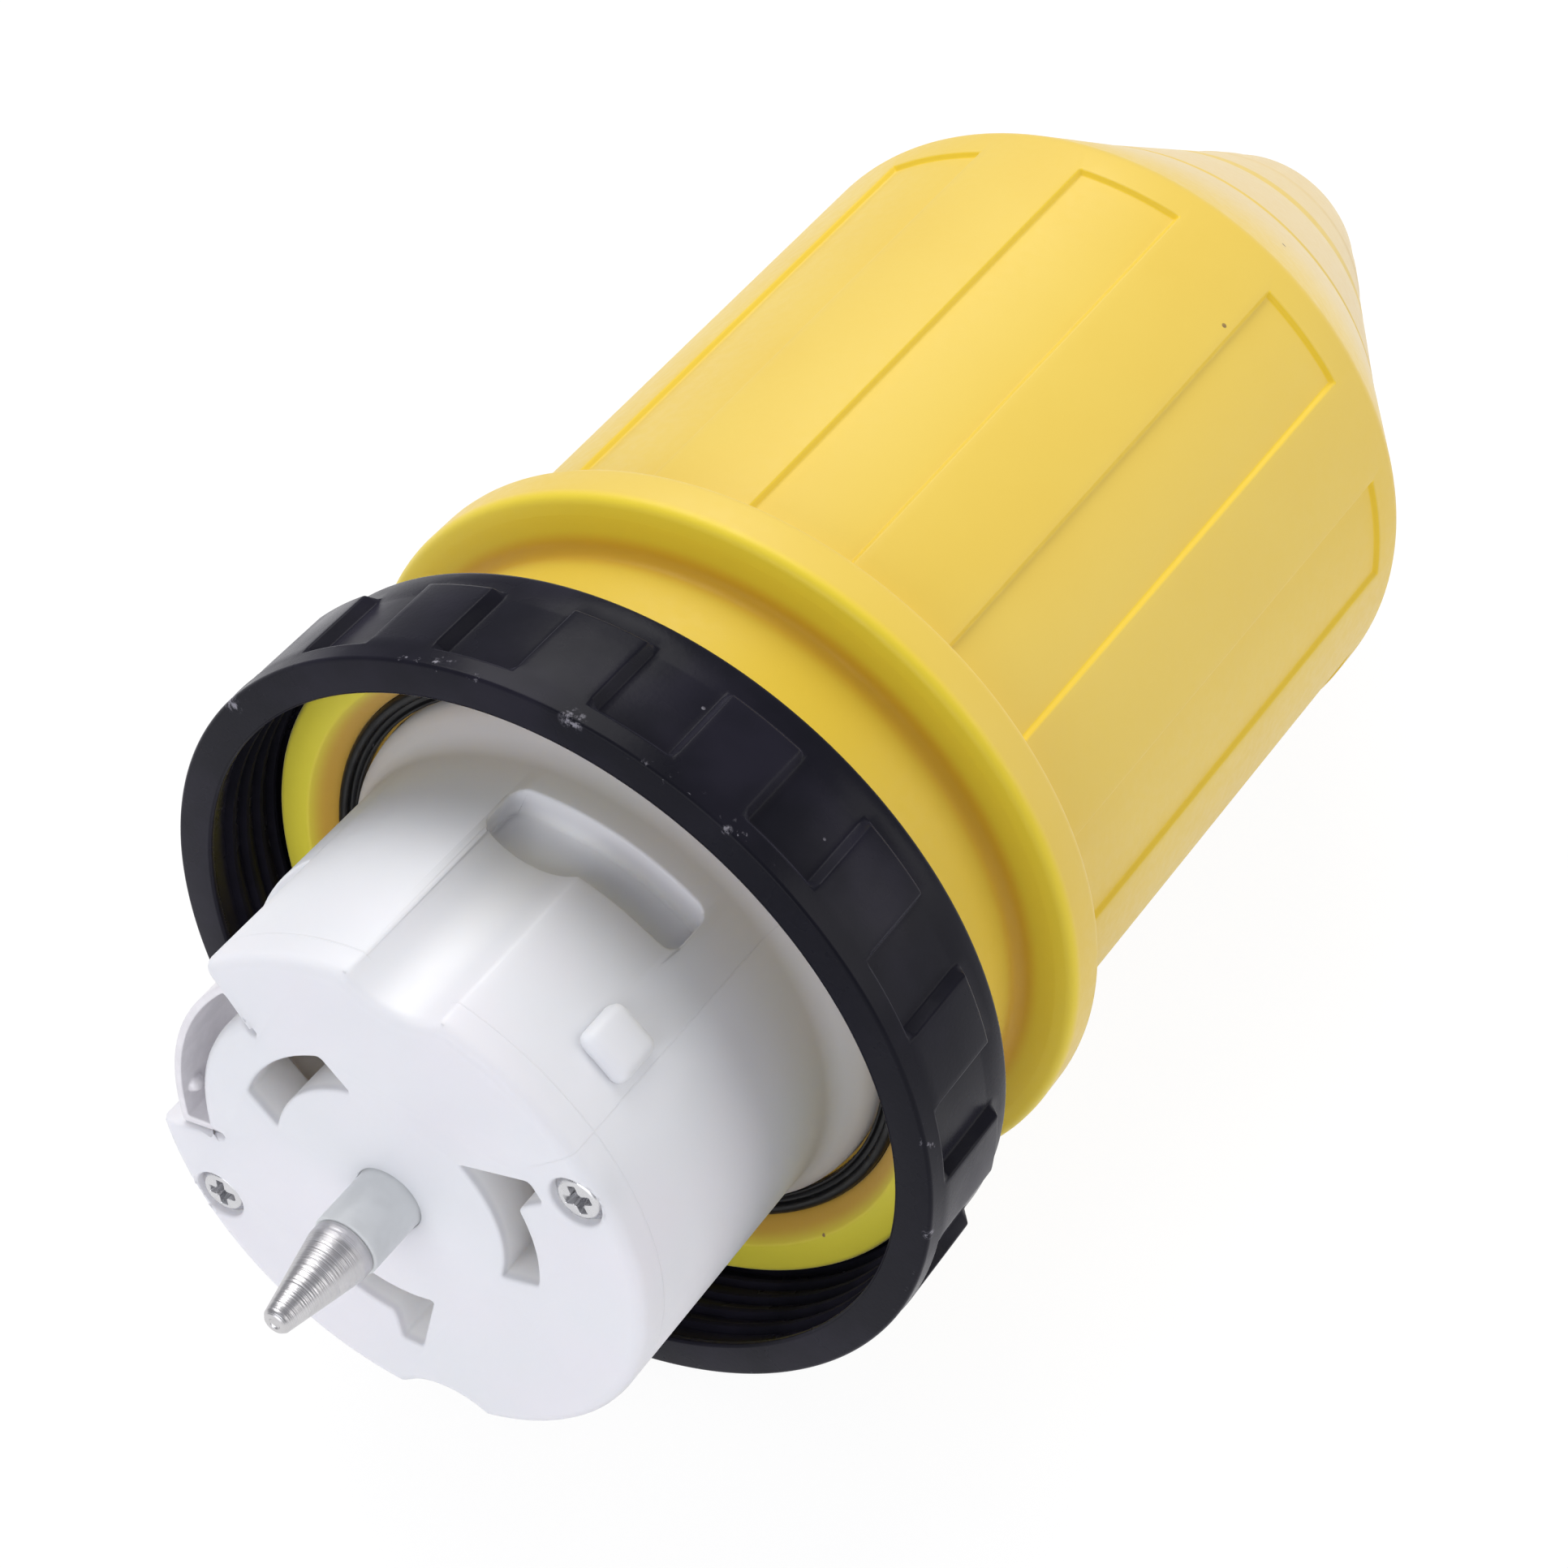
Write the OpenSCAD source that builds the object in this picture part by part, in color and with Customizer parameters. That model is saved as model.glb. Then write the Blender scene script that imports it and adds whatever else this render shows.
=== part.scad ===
// Locking power connector with a weatherproof boot and a threaded coupling ring.
// The mating face lies at the origin, the nose points along -Y and the cable end along +Y.
// Depths are measured back from the mating face; angles run from +X towards +Z.

/* [Nose] */
// Radius of the insulating nose
nose_r = 27.6; // [26:0.1:29]
// Length of the straight nose, from the mating face to the flare
nose_len = 31; // [29:0.5:33]
// Rounding of the nose's front edge
nose_edge_r = 1.3; // [0.8:0.1:2]
// Radius of the collar behind the nose
collar_r = 30.2; // [29.6:0.1:31]
// Length of the flare between nose and collar
flare_len = 6; // [4:0.5:7]
// Length of the straight collar
collar_len = 11; // [9:0.5:14]
// Thickness of the front plate that the slots pass through
face_plate_t = 6; // [4:0.5:9]

/* [Face slots] */
// Inner radius of the arc slots
slot_in_r = 12.7; // [12.2:0.1:13.2]
// Radial width of the arc slots
slot_w = 3.75; // [3.2:0.05:3.9]
// Length of each slot, end to end
slot_len = 13.4; // [11:0.2:14.5]
// How far the hooked end reaches out past the slot
hook_reach = 3; // [2:0.1:3.4]
// Direction of the first slot's middle
slot_angle = 16.6; // [12:0.2:20]

/* [Flutes and lock] */
// Depth of the two bayonet flutes
flute_depth = 2.2; // [1.5:0.1:3]
// Width of the two bayonet flutes
flute_w = 9.9; // [8:0.1:11]
// Direction of the upper flute
flute_top_angle = 85; // [83:0.5:88]
// Direction of the lower flute
flute_low_angle = 279; // [270:0.5:290]
// Length of the lower flute
flute_len = 27; // [20:0.5:28]
// Width of the lock pocket along the axis
lock_w = 6; // [5:0.2:7]
// Depth of the lock pocket below the nose
lock_depth = 3.4; // [2.4:0.1:4]
// Sweep of the lock pocket around the nose
lock_sweep = 45; // [38:1:48]
// Depth of the lock pocket's far wall from the mating face
lock_back = 28; // [26:0.5:29]
// Side of the raised key
key_size = 5.6; // [4:0.1:7]
// Height of the raised key
key_h = 1.5; // [0.8:0.1:2.2]
// Depth of the key's middle from the mating face
key_depth = 11; // [8:0.5:14]
// Direction of the key
key_angle = 48.6; // [46:0.2:52]

/* [Ground strip] */
// Direction of the ground pocket's middle
ground_angle = 161.5; // [158:0.5:165]
// Sweep of the ground pocket
ground_sweep = 57; // [52:1:60]
// Radius of the ground pocket's floor
ground_floor_r = 21.6; // [21:0.1:22.5]
// Inner radius of the spring strip
strip_in_r = 24.2; // [23.6:0.1:25]
// Thickness of the spring strip
strip_t = 0.8; // [0.5:0.1:1.2]
// Width of the spring strip along the axis
strip_w = 11; // [8:0.5:14]
// Length of the ground pocket along the axis
ground_len = 16; // [15:0.5:22]

/* [Pilot pin] */
// Radius of the insulating sleeve
sleeve_r = 3.45; // [3.2:0.05:3.8]
// Length of sleeve that shows in front of the face
sleeve_out = 6.6; // [5:0.2:8]
// Length of the metal tip in front of the sleeve
tip_len = 10.4; // [8:0.2:13]
// Radius of the flat end of the tip
tip_end_r = 1.4; // [1:0.1:1.8]
// Radius of the metal shank inside the sleeve
shank_r = 1.9; // [1.5:0.1:2.3]

/* [Boot] */
// Outer radius of the front lip
lip_r = 38.5; // [37.8:0.1:38.8]
// Depth of the lip's front face behind the mating face
lip_depth = 34.4; // [33.6:0.2:35.2]
// Thickness of the lip
lip_t = 3; // [2:0.2:3.6]
// Outer radius of the neck
neck_r = 35.5; // [35:0.1:36]
// Outer radius of the big flange
flange_r = 41.5; // [40.5:0.1:42.5]
// Depth of the flange's front edge behind the mating face
flange_depth = 53.9; // [52:0.2:58]
// Thickness of the flange
flange_t = 5.7; // [4.5:0.1:7]
// Outer radius of the body behind the flange
body_r = 37.8; // [37.4:0.1:38.4]
// Outer radius of the body at the shoulder
shoulder_r = 38.8; // [38.4:0.1:39.4]
// Depth of the shoulder behind the mating face
shoulder_depth = 132.8; // [128:0.5:140]
// Outer radius of the cable end
tail_r = 11.9; // [11:0.1:13]
// Length of the cone, from the shoulder to the cable end
cone_len = 46.4; // [42:0.5:52]
// Thickness of the body wall
boot_wall = 4; // [3:0.2:4.6]
// Radius of the cable hole
cable_hole_r = 9.5; // [8:0.1:10.2]
// Length of the straight cable hole
cable_hole_len = 4; // [3:0.5:6]

/* [Boot panels] */
// Number of recessed panels around the body
panel_count = 10; // [6:1:12]
// Share of the pitch that a panel takes
panel_share = 0.508; // [0.4:0.01:0.6]
// Depth of a panel
panel_depth = 0.6; // [0.3:0.1:1]
// Distance from a panel's closed end to the shoulder
panel_land = 4.2; // [3:0.2:8]
// Direction of the first panel's middle
panel_angle = 9.4; // [0:0.2:36]

/* [Coupling ring] */
// Gap between the boot's lip and the ring's front opening
ring_lip_gap = 0.6; // [0.3:0.1:0.8]
// Depth of the thread, from the front opening to the bore behind it
thread_depth = 0.8; // [0.5:0.1:1.2]
// Wall of the ring between its bore and the hollows of the grip
ring_wall = 2; // [1.6:0.1:2.6]
// Height of the ring's front rim above those hollows
rim_h = 1.1; // [0.6:0.1:1.2]
// Height of the grips above those hollows
grip_h = 1.2; // [0.7:0.1:2]
// Length of the ring
ring_len = 16.2; // [15:0.2:17.5]
// Thickness of the ring's rear shoulder
ring_shoulder_t = 2.7; // [2:0.1:3.2]
// Number of grips
grip_count = 16; // [10:1:20]
// Share of the pitch that a grip takes
grip_share = 0.46; // [0.35:0.01:0.6]
// Distance from the ring's front to the grips
grip_start = 2; // [1.2:0.1:2.6]
// Distance from the ring's back to the grips
grip_end = 3.1; // [2:0.1:4]
// Direction of the first grip
grip_angle = -2.4; // [-12:0.2:12]

/* [Gasket] */
// Radial width of the gasket
gasket_w = 1.8; // [1.4:0.1:2]
// Thickness of the gasket
gasket_t = 2.6; // [2:0.1:3.2]

/* [Rear housing] */
// Length of the wiring chamber
chamber_len = 44; // [40:1:50]
// Wall of the rear housing
housing_wall = 2.6; // [2:0.1:3.2]
// Thickness of the housing's rear wall
housing_end_t = 4; // [3:0.5:5]
// Length of the housing's narrower tail, rear wall included
housing_step_len = 12; // [8:1:14]
// Radius of the cable hole in the housing
housing_hole_r = 14; // [12:0.5:15]

/* [Contacts and screws] */
// Thickness of the contact leaves
leaf_t = 0.9; // [0.6:0.1:1.1]
// Depth of the leaves' front edge behind the mating face
leaf_depth = 9; // [8:0.5:12]
// Length of the leaves
leaf_len = 18; // [14:0.5:20]
// Width of a terminal block
block_w = 9; // [8:0.2:10]
// Height of a terminal block
block_h = 8; // [7.4:0.2:9]
// Length of a terminal block
block_len = 11; // [10:0.5:13]
// Radius of the wire hole in a terminal block
wire_hole_r = 3; // [2.5:0.1:3.2]
// Radius of the terminal screws
terminal_screw_r = 2; // [1.6:0.1:2.4]
// Distance of the assembly screws from the axis
screw_circle_r = 24.2; // [23.8:0.1:24.4]
// Direction of the first assembly screw
screw_angle = 30; // [28:0.5:32]
// Radius of the assembly screws' heads
screw_head_r = 2.5; // [2.3:0.1:2.6]
// Radius of the assembly screws' shanks
screw_shank_r = 1.6; // [1.3:0.1:1.9]
// Length of thread that goes into the rear housing
screw_grip = 12; // [8:1:16]

/* [Cord clamp] */
// Radius of the clamp's jaws
jaw_r = 12.5; // [11:0.5:13.5]
// Outer radius of the clamp
clamp_r = 18.5; // [17.5:0.5:19]
// Length of the clamp
clamp_len = 15; // [12:1:18]
// Gap between the two clamp halves
clamp_gap = 1.6; // [1:0.2:3]
// Distance of the clamp screws from the axis
clamp_screw_x = 18; // [17.5:0.5:19]
// Radius of the clamp screws
clamp_screw_r = 2; // [1.6:0.1:2.3]

/* [Hidden] */
$fn = 96;

// Overshoot of the cutters, so that no two faces are left coplanar
over = 1;
// Small clearance between pieces that are pushed together
slip = 0.1;
// Gap between the ring and what it turns on
ring_gap = 0.5;
// Gap between the ring's shoulder and the back of the lip
ring_end_gap = 0.3;

slot_out_r = slot_in_r + slot_w;
slot_pitch = 120;
collar_start = nose_len + flare_len;
nose_back = collar_start + collar_len;
flute_floor_r = nose_r - flute_depth;
flute_half = asin(flute_w / 2 / nose_r);
flute_rise = nose_r * cos(flute_half) - flute_floor_r;
flute_r = (flute_rise * flute_rise + flute_w * flute_w / 4) / (2 * flute_rise);
lock_corner_r = lock_w / 4;
lock_start = flute_top_angle + flute_half + 1.6 - lock_sweep;
ground_start = ground_angle - ground_sweep / 2;
strip_front = 0.6;
tail_leg_sweep = 12;

ring_mouth_r = lip_r + ring_lip_gap;
ring_bore_r = ring_mouth_r + thread_depth;
ring_base_r = ring_bore_r + ring_wall;
ring_rim_r = ring_base_r + rim_h;
grip_r = ring_base_r + grip_h;
ring_back = lip_depth + lip_t + ring_end_gap + ring_shoulder_t;
ring_front = ring_back - ring_len;
ring_shoulder_front = ring_back - ring_shoulder_t;
flange_back = flange_depth + flange_t;
body_start = flange_back + 0.3;
tail_end = shoulder_depth + cone_len;
shoulder_round = 1.2;
cone_top_r = shoulder_r - 0.6;

groove_r = collar_r + slip + 0.6;
groove_out_r = groove_r + gasket_w;
gasket_front = lip_depth + 2.4;
gasket_back = gasket_front + gasket_t;
boot_bore_r = collar_r + slip;
hollow_start = flange_back + boot_wall;

chamber_front = nose_back;
chamber_back = chamber_front + chamber_len;
chamber_r = collar_r - housing_wall;
step_start = chamber_back - housing_step_len;
step_r = collar_r - housing_wall;
rib_t = 3;

block_front = nose_back;
block_mid_r = slot_in_r + slot_w / 2;
cavity_side = 1.1;
screw_head_t = 2;
recess_depth = 0.8;
head_recess_r = screw_head_r + 0.2;
boss_r = chamber_r - screw_circle_r + 0.3;
post_w = 6;

clamp_front = chamber_back;
clamp_mid = clamp_front + clamp_len / 2;
ear_w = 8;
ear_h = 6.5;
clamp_head_r = clamp_screw_r + 1.6;

nylon = [0.93, 0.94, 0.96];
rubber_black = [0.07, 0.07, 0.08];
boot_yellow = [0.93, 0.81, 0.30];
ring_black = [0.14, 0.14, 0.17];
nickel = [0.76, 0.75, 0.72];
brass = [0.78, 0.64, 0.33];
steel = [0.70, 0.71, 0.73];
frosted = [0.80, 0.81, 0.81];

// Points along an arc, for round stretches of a profile
function arc(cx, cy, r, from, to, steps = 6) =
    [for (i = [0:steps]) [cx + r * cos(from + (to - from) * i / steps),
                          cy + r * sin(from + (to - from) * i / steps)]];

// Smooth blend between two radii along the axis
function blend(r0, r1, y0, y1, steps = 8) =
    [for (i = [0:steps]) [r0 + (r1 - r0) * (1 - cos(180 * i / steps)) / 2,
                          y0 + (y1 - y0) * i / steps]];

// Radius of the boot's body at a depth
function boot_r(depth) =
    body_r + (shoulder_r - body_r) * (depth - body_start) / (shoulder_depth - body_start);

// Radius of the cone at a depth
function cone_r(depth) =
    cone_top_r + (tail_r - cone_top_r) * (depth - shoulder_depth) / cone_len;

// Turns a piece drawn with its depth along +Z so that its depth runs along +Y
module along_axis() {
    rotate([90, 0, 0]) mirror([0, 0, 1]) children();
}

// Piece of a ring, from one angle over a sweep
module sector(r_in, r_out, front, back, from, sweep) {
    rotate([0, 0, from])
        rotate_extrude(angle = sweep)
            translate([r_in, front]) square([r_out - r_in, back - front]);
}

// Plain tube between two depths
module tube(r_in, r_out, front, back) {
    difference() {
        translate([0, 0, front]) cylinder(r = r_out, h = back - front);
        translate([0, 0, front - over]) cylinder(r = r_in, h = back - front + 2 * over);
    }
}

/* ---------- Nose ---------- */

// Outer form of the nose: rounded front edge, flare and collar
module nose_form() {
    rotate_extrude()
        polygon(concat(
            [[0, 0]],
            arc(nose_r - nose_edge_r, nose_edge_r, nose_edge_r, -90, 0, 4),
            blend(nose_r, collar_r, nose_len, collar_start, 5),
            [[collar_r, nose_back], [0, nose_back]]));
}

// Round-bottomed flute that opens at the face with a rounded lip
module flute_cut(angle, len) {
    centre = flute_floor_r + flute_r;
    rotate([0, 0, angle]) translate([centre, 0, 0])
        rotate_extrude()
            polygon(concat(
                [[0, -over], [flute_r + nose_edge_r, -over]],
                [for (p = arc(0, nose_edge_r, nose_edge_r, -90, 0, 3)) [flute_r + nose_edge_r - p[0], p[1]]],
                [[flute_r, len], [0, len]]));
}

// Outline of a rectangle with round corners, centred on the origin
function rounded_rect(w, h, r) =
    let (x = w / 2 - r, y = h / 2 - r)
    concat(arc(x, y, r, 0, 90), arc(-x, y, r, 90, 180), arc(-x, -y, r, 180, 270), arc(x, -y, r, 270, 360));

// Lock pocket that runs sideways from the end of the upper flute, drawn straight out of the mould
module lock_cut() {
    floor_r = nose_r - lock_depth;
    intersection() {
        tube(floor_r, nose_r + over, lock_back - 2 * lock_w, lock_back + lock_w);
        rotate([0, 0, lock_start + lock_sweep / 2]) translate([0, 0, lock_back - lock_w / 2]) rotate([0, 90, 0])
            linear_extrude(height = 2 * nose_r)
                polygon(rounded_rect(lock_w, 2 * nose_r * sin(lock_sweep / 2), lock_corner_r));
    }
}

// Wide pocket behind the ground strip, with a rounded lip at the face
module ground_cut() {
    rotate([0, 0, ground_start])
        rotate_extrude(angle = ground_sweep)
            polygon(concat(
                [[nose_r + 3 * over, -over], [ground_floor_r - nose_edge_r, -over]],
                [for (p = arc(0, nose_edge_r, nose_edge_r, -90, 0, 3))
                    [ground_floor_r - nose_edge_r + p[0], p[1]]],
                [[ground_floor_r, ground_len], [nose_r + 3 * over, ground_len]]));
}

// Places a copy of the children at each of the three slots
module at_slots() {
    for (i = [0:2]) rotate([0, 0, slot_angle + i * slot_pitch]) children();
}

// Arc slot with square ends, drawn about the +X direction
module slot_arc(front, back, extra = 0) {
    intersection() {
        tube(slot_in_r - extra, slot_out_r + extra, front, back);
        translate([0, -slot_len / 2 - extra, front])
            cube([2 * slot_out_r, slot_len + 2 * extra, back - front]);
    }
}

// Hooked end of a slot, for a blade with a turned toe
module slot_hook(front, back) {
    reach = slot_out_r + hook_reach;
    translate([0, 0, front]) linear_extrude(height = back - front)
        polygon([[slot_in_r + 1, slot_len / 2], [slot_out_r - 1, slot_len / 2 - 4.4],
                 [slot_out_r + 0.6, slot_len / 2 - 3.2], [reach, slot_len / 2 - 2.2],
                 [reach - 0.7, slot_len / 2]]);
}

// Slots in the front plate; the middle one is plain and the others are hooked
module slot_cuts() {
    at_slots() slot_arc(-over, face_plate_t + over);
    for (i = [0, 2]) rotate([0, 0, slot_angle + i * slot_pitch]) slot_hook(-over, face_plate_t + over);
}

// Wider cavity behind each slot, for the contact
module contact_cavities() {
    at_slots() {
        slot_arc(face_plate_t, leaf_depth + leaf_len + 2 * leaf_t, cavity_side);
        translate([slot_in_r, -post_w / 2 - slip, leaf_depth])
            cube([slot_w, post_w + 2 * slip, nose_back]);
    }
}

// Raised key on the side of the nose
module nose_key() {
    side = key_size - 1.6;
    rotate([0, 0, key_angle]) translate([nose_r - over, 0, key_depth]) rotate([0, 90, 0])
        hull() {
            for (x = [-1, 1], y = [-1, 1])
                translate([x * side / 2, y * side / 2, 0]) cylinder(r = 0.8, h = over + key_h - 0.6, $fn = 24);
            for (x = [-1, 1], y = [-1, 1])
                translate([x * side / 2, y * side / 2, 0]) cylinder(r = 0.3, h = over + key_h, $fn = 24);
        }
}

// Places a copy of the children at each assembly screw
module at_face_screw(index) {
    rotate([0, 0, screw_angle + 180 * index]) translate([screw_circle_r, 0, 0]) children();
}

module nose() {
    color(nylon) along_axis() difference() {
        union() {
            nose_form();
            nose_key();
        }
        flute_cut(flute_top_angle, lock_back - lock_w / 2);
        flute_cut(flute_low_angle, flute_len);
        lock_cut();
        ground_cut();
        ground_strip_slots();
        slot_cuts();
        contact_cavities();
        translate([0, 0, -over]) cylinder(r = sleeve_r, h = 2 * over);
        sleeve_seat();
        for (i = [0, 1]) at_face_screw(i) {
            translate([0, 0, -over]) cylinder(r = head_recess_r, h = over + recess_depth + screw_head_t);
            translate([0, 0, -over]) cylinder(r = screw_shank_r + slip, h = nose_back + 2 * over);
        }
    }
}

/* ---------- Pilot pin ---------- */

seat_depth = 10;
seat_r = sleeve_r + 0.8;

// Seat of the sleeve inside the nose: it widens from the face to a shoulder
module sleeve_seat() {
    cylinder(r1 = sleeve_r, r2 = seat_r, h = 2);
    translate([0, 0, 2]) cylinder(r = seat_r, h = seat_depth - 2);
    translate([0, 0, seat_depth - over]) cylinder(r = shank_r, h = nose_back);
}

module pin_sleeve() {
    color(frosted) along_axis() difference() {
        union() {
            translate([0, 0, -sleeve_out]) cylinder(r = sleeve_r, h = sleeve_out);
            cylinder(r1 = sleeve_r, r2 = seat_r, h = 2);
            translate([0, 0, 2]) cylinder(r = seat_r, h = seat_depth - 2);
        }
        translate([0, 0, -sleeve_out - over]) cylinder(r = shank_r, h = sleeve_out + seat_depth + 2 * over);
    }
}

module pilot_pin() {
    base_r = sleeve_r - 0.25;
    bevel = 1;
    front = -sleeve_out - tip_len;
    color(nickel) along_axis() {
        rotate_extrude()
            polygon([[0, front], [tip_end_r, front], [tip_end_r + 0.5, front + bevel],
                     [base_r, -sleeve_out - 1.4], [base_r, -sleeve_out],
                     [shank_r, -sleeve_out], [shank_r, nose_back], [0, nose_back]]);
        translate([0, 0, nose_back]) cylinder(r = seat_r, h = 1.5);
    }
}

/* ---------- Ground strip ---------- */

strip_back = strip_front + strip_w;
leg_r = ground_floor_r - 2;
leg_sweep = 2.2;
strip_from = ground_start + 0.4;
strip_sweep = ground_sweep - 0.8;

// Narrow slots in the nose that take the strip's legs and its tail
module ground_strip_slots() {
    end = strip_from + strip_sweep;
    for (a = [strip_from, end - leg_sweep])
        sector(leg_r - slip, ground_floor_r + over, -over, strip_back + slip, a - 0.2, leg_sweep + 0.4);
    sector(leg_r, leg_r + strip_t, strip_back - strip_t, nose_back + over, end - tail_leg_sweep, tail_leg_sweep);
}

// Outline of the bowed strip with its two legs, seen from the mating face
module strip_outline() {
    end = strip_from + strip_sweep;
    out_r = strip_in_r + strip_t;
    polygon(concat(
        arc(0, 0, out_r, strip_from, end, 20),
        arc(0, 0, leg_r, end, end - leg_sweep, 1),
        arc(0, 0, strip_in_r, end - leg_sweep, strip_from + leg_sweep, 20),
        arc(0, 0, leg_r, strip_from + leg_sweep, strip_from, 1)));
}

module ground_strip() {
    end = strip_from + strip_sweep;
    color(steel) along_axis() {
        translate([0, 0, strip_front]) linear_extrude(height = strip_w) strip_outline();
        sector(leg_r, leg_r + strip_t, strip_back - strip_t, block_front, end - tail_leg_sweep, tail_leg_sweep);
        for (a = [strip_from + 5, end - 9])
            rotate([0, 0, a]) translate([strip_in_r, 0, strip_front + 1.8]) sphere(r = 0.9, $fn = 32);
    }
}

/* ---------- Contacts and terminals ---------- */

// Terminal block with a wire hole along the axis and a screw from outside
module terminal_block() {
    difference() {
        translate([block_mid_r - block_h / 2, -block_w / 2, block_front])
            cube([block_h, block_w, block_len]);
        translate([block_mid_r - 0.6, 0, block_front + over])
            cylinder(r = wire_hole_r, h = block_len);
        translate([block_mid_r, 0, block_front + block_len / 2]) rotate([0, 90, 0])
            cylinder(r = terminal_screw_r, h = block_h);
    }
}

// Contact: two curved leaves that grip a blade, a web, a post and a terminal block
module contact(index) {
    web = leaf_depth + leaf_len;
    color(brass) along_axis() rotate([0, 0, slot_angle + index * slot_pitch]) {
        intersection() {
            union() {
                tube(slot_in_r - 0.5, slot_in_r - 0.5 + leaf_t, leaf_depth, web + leaf_t);
                tube(slot_out_r + 0.5 - leaf_t, slot_out_r + 0.5, leaf_depth, web + leaf_t);
                tube(slot_in_r - 0.5, slot_out_r + 0.5, web, web + leaf_t);
            }
            translate([0, -slot_len / 2, leaf_depth]) cube([2 * slot_out_r, slot_len, leaf_len + leaf_t]);
        }
        translate([block_mid_r - 1.5, -post_w / 2, web]) cube([3, post_w, block_front + over - web]);
        terminal_block();
    }
}

// Plate that the screw presses on the wire
module pressure_plate(angle) {
    color(steel) along_axis() rotate([0, 0, angle])
        translate([block_mid_r + 0.8, -wire_hole_r * 0.6, block_front + 2])
            cube([1, wire_hole_r * 1.2, block_len - 3]);
}

// Slotted screw that stands out of a terminal block
module terminal_screw(angle) {
    length = block_h / 2 - 1.8;
    head_r = terminal_screw_r + 1.4;
    color(steel) along_axis() rotate([0, 0, angle])
        translate([block_mid_r + 1.8, 0, block_front + block_len / 2]) rotate([0, 90, 0])
            difference() {
                union() {
                    cylinder(r = terminal_screw_r, h = length);
                    translate([0, 0, length]) cylinder(r = head_r, h = 2);
                }
                translate([-head_r, -0.4, length + 1]) cube([2 * head_r, 0.8, 2]);
            }
}

ground_block_angle = strip_from + strip_sweep - tail_leg_sweep / 2;

module ground_terminal() {
    color(steel) along_axis() rotate([0, 0, ground_block_angle]) {
        terminal_block();
        translate([block_mid_r, -block_w / 2, block_front]) cube([leg_r + 1 - block_mid_r, block_w, 1]);
    }
}

/* ---------- Rear housing ---------- */

module rear_housing() {
    color(nylon) along_axis() difference() {
        union() {
            difference() {
                rotate_extrude()
                    polygon([[0, chamber_front], [collar_r, chamber_front], [collar_r, step_start],
                             [step_r, step_start], [step_r - 1.5, chamber_back], [0, chamber_back]]);
                rotate_extrude()
                    polygon([[0, chamber_front - over], [chamber_r, chamber_front - over],
                             [chamber_r, step_start - housing_wall],
                             [step_r - housing_wall, step_start],
                             [step_r - housing_wall - 1, chamber_back - housing_end_t],
                             [0, chamber_back - housing_end_t]]);
            }
            for (i = [0, 1]) at_face_screw(i)
                translate([0, 0, chamber_front + 0.5]) cylinder(r = boss_r, h = screw_grip + 2);
        }
        translate([0, 0, chamber_back - housing_end_t - over])
            cylinder(r = housing_hole_r, h = housing_end_t + 2 * over);
        for (i = [0, 1]) at_face_screw(i)
            translate([0, 0, chamber_front - over]) cylinder(r = screw_shank_r, h = screw_grip + over);
    }
}

/* ---------- Assembly screws ---------- */

// Cross recess of a screw head
module cross_recess(top) {
    for (a = [0, 90]) rotate([0, 0, a])
        translate([-1.6, -0.35, top - over]) cube([3.2, 0.7, over + 1]);
}

module face_screw(index) {
    color(steel) along_axis() at_face_screw(index) difference() {
        union() {
            rotate_extrude()
                polygon([[0, recess_depth], [1.4, recess_depth], [screw_head_r, recess_depth + 0.8],
                         [screw_head_r, recess_depth + screw_head_t], [screw_shank_r, recess_depth + screw_head_t],
                         [screw_shank_r, chamber_front + screw_grip], [0, chamber_front + screw_grip]]);
        }
        cross_recess(recess_depth);
    }
}

/* ---------- Cord clamp ---------- */

// One half of the clamp, above or below the cable
module clamp_half(side) {
    color(nylon) along_axis() difference() {
        union() {
            translate([0, 0, clamp_front]) cylinder(r = clamp_r, h = clamp_len);
            for (x = [-1, 1])
                translate([x * clamp_screw_x - ear_w / 2, -ear_h, clamp_front])
                    cube([ear_w, 2 * ear_h, clamp_len]);
        }
        translate([0, 0, clamp_front - over]) cylinder(r = jaw_r, h = clamp_len + 2 * over);
        translate([-2 * clamp_r, side * clamp_gap / 2 - (side > 0 ? 2 * clamp_r : 0), clamp_front - over])
            cube([4 * clamp_r, 2 * clamp_r, clamp_len + 2 * over]);
        for (x = [-1, 1]) translate([x * clamp_screw_x, 0, clamp_mid]) rotate([-90, 0, 0]) {
            translate([0, 0, -2 * ear_h]) cylinder(r = clamp_screw_r, h = 4 * ear_h);
            translate([0, 0, ear_h]) cylinder(r = clamp_head_r + 0.4, h = clamp_r);
        }
    }
}

module clamp_screw(x) {
    color(steel) along_axis() translate([x * clamp_screw_x, 0, clamp_mid]) rotate([-90, 0, 0])
        difference() {
            union() {
                translate([0, 0, -ear_h - 1]) cylinder(r = clamp_screw_r, h = 2 * ear_h + 1);
                translate([0, 0, ear_h]) cylinder(r = clamp_head_r, h = 2.2);
            }
            for (a = [0, 90]) rotate([0, 0, a])
                translate([-clamp_head_r * 0.6, -0.4, ear_h + 1.2]) cube([clamp_head_r * 1.2, 0.8, 2]);
        }
}

/* ---------- Gasket and boot ---------- */

module gasket() {
    round_r = gasket_t / 4;
    color(rubber_black) along_axis()
        rotate_extrude()
            polygon(concat(
                arc(groove_r + round_r, gasket_front + round_r, round_r, 180, 270, 4),
                arc(groove_out_r - round_r, gasket_front + round_r, round_r, -90, 0, 4),
                [[groove_out_r, gasket_back], [groove_r, gasket_back]]));
}

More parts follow.
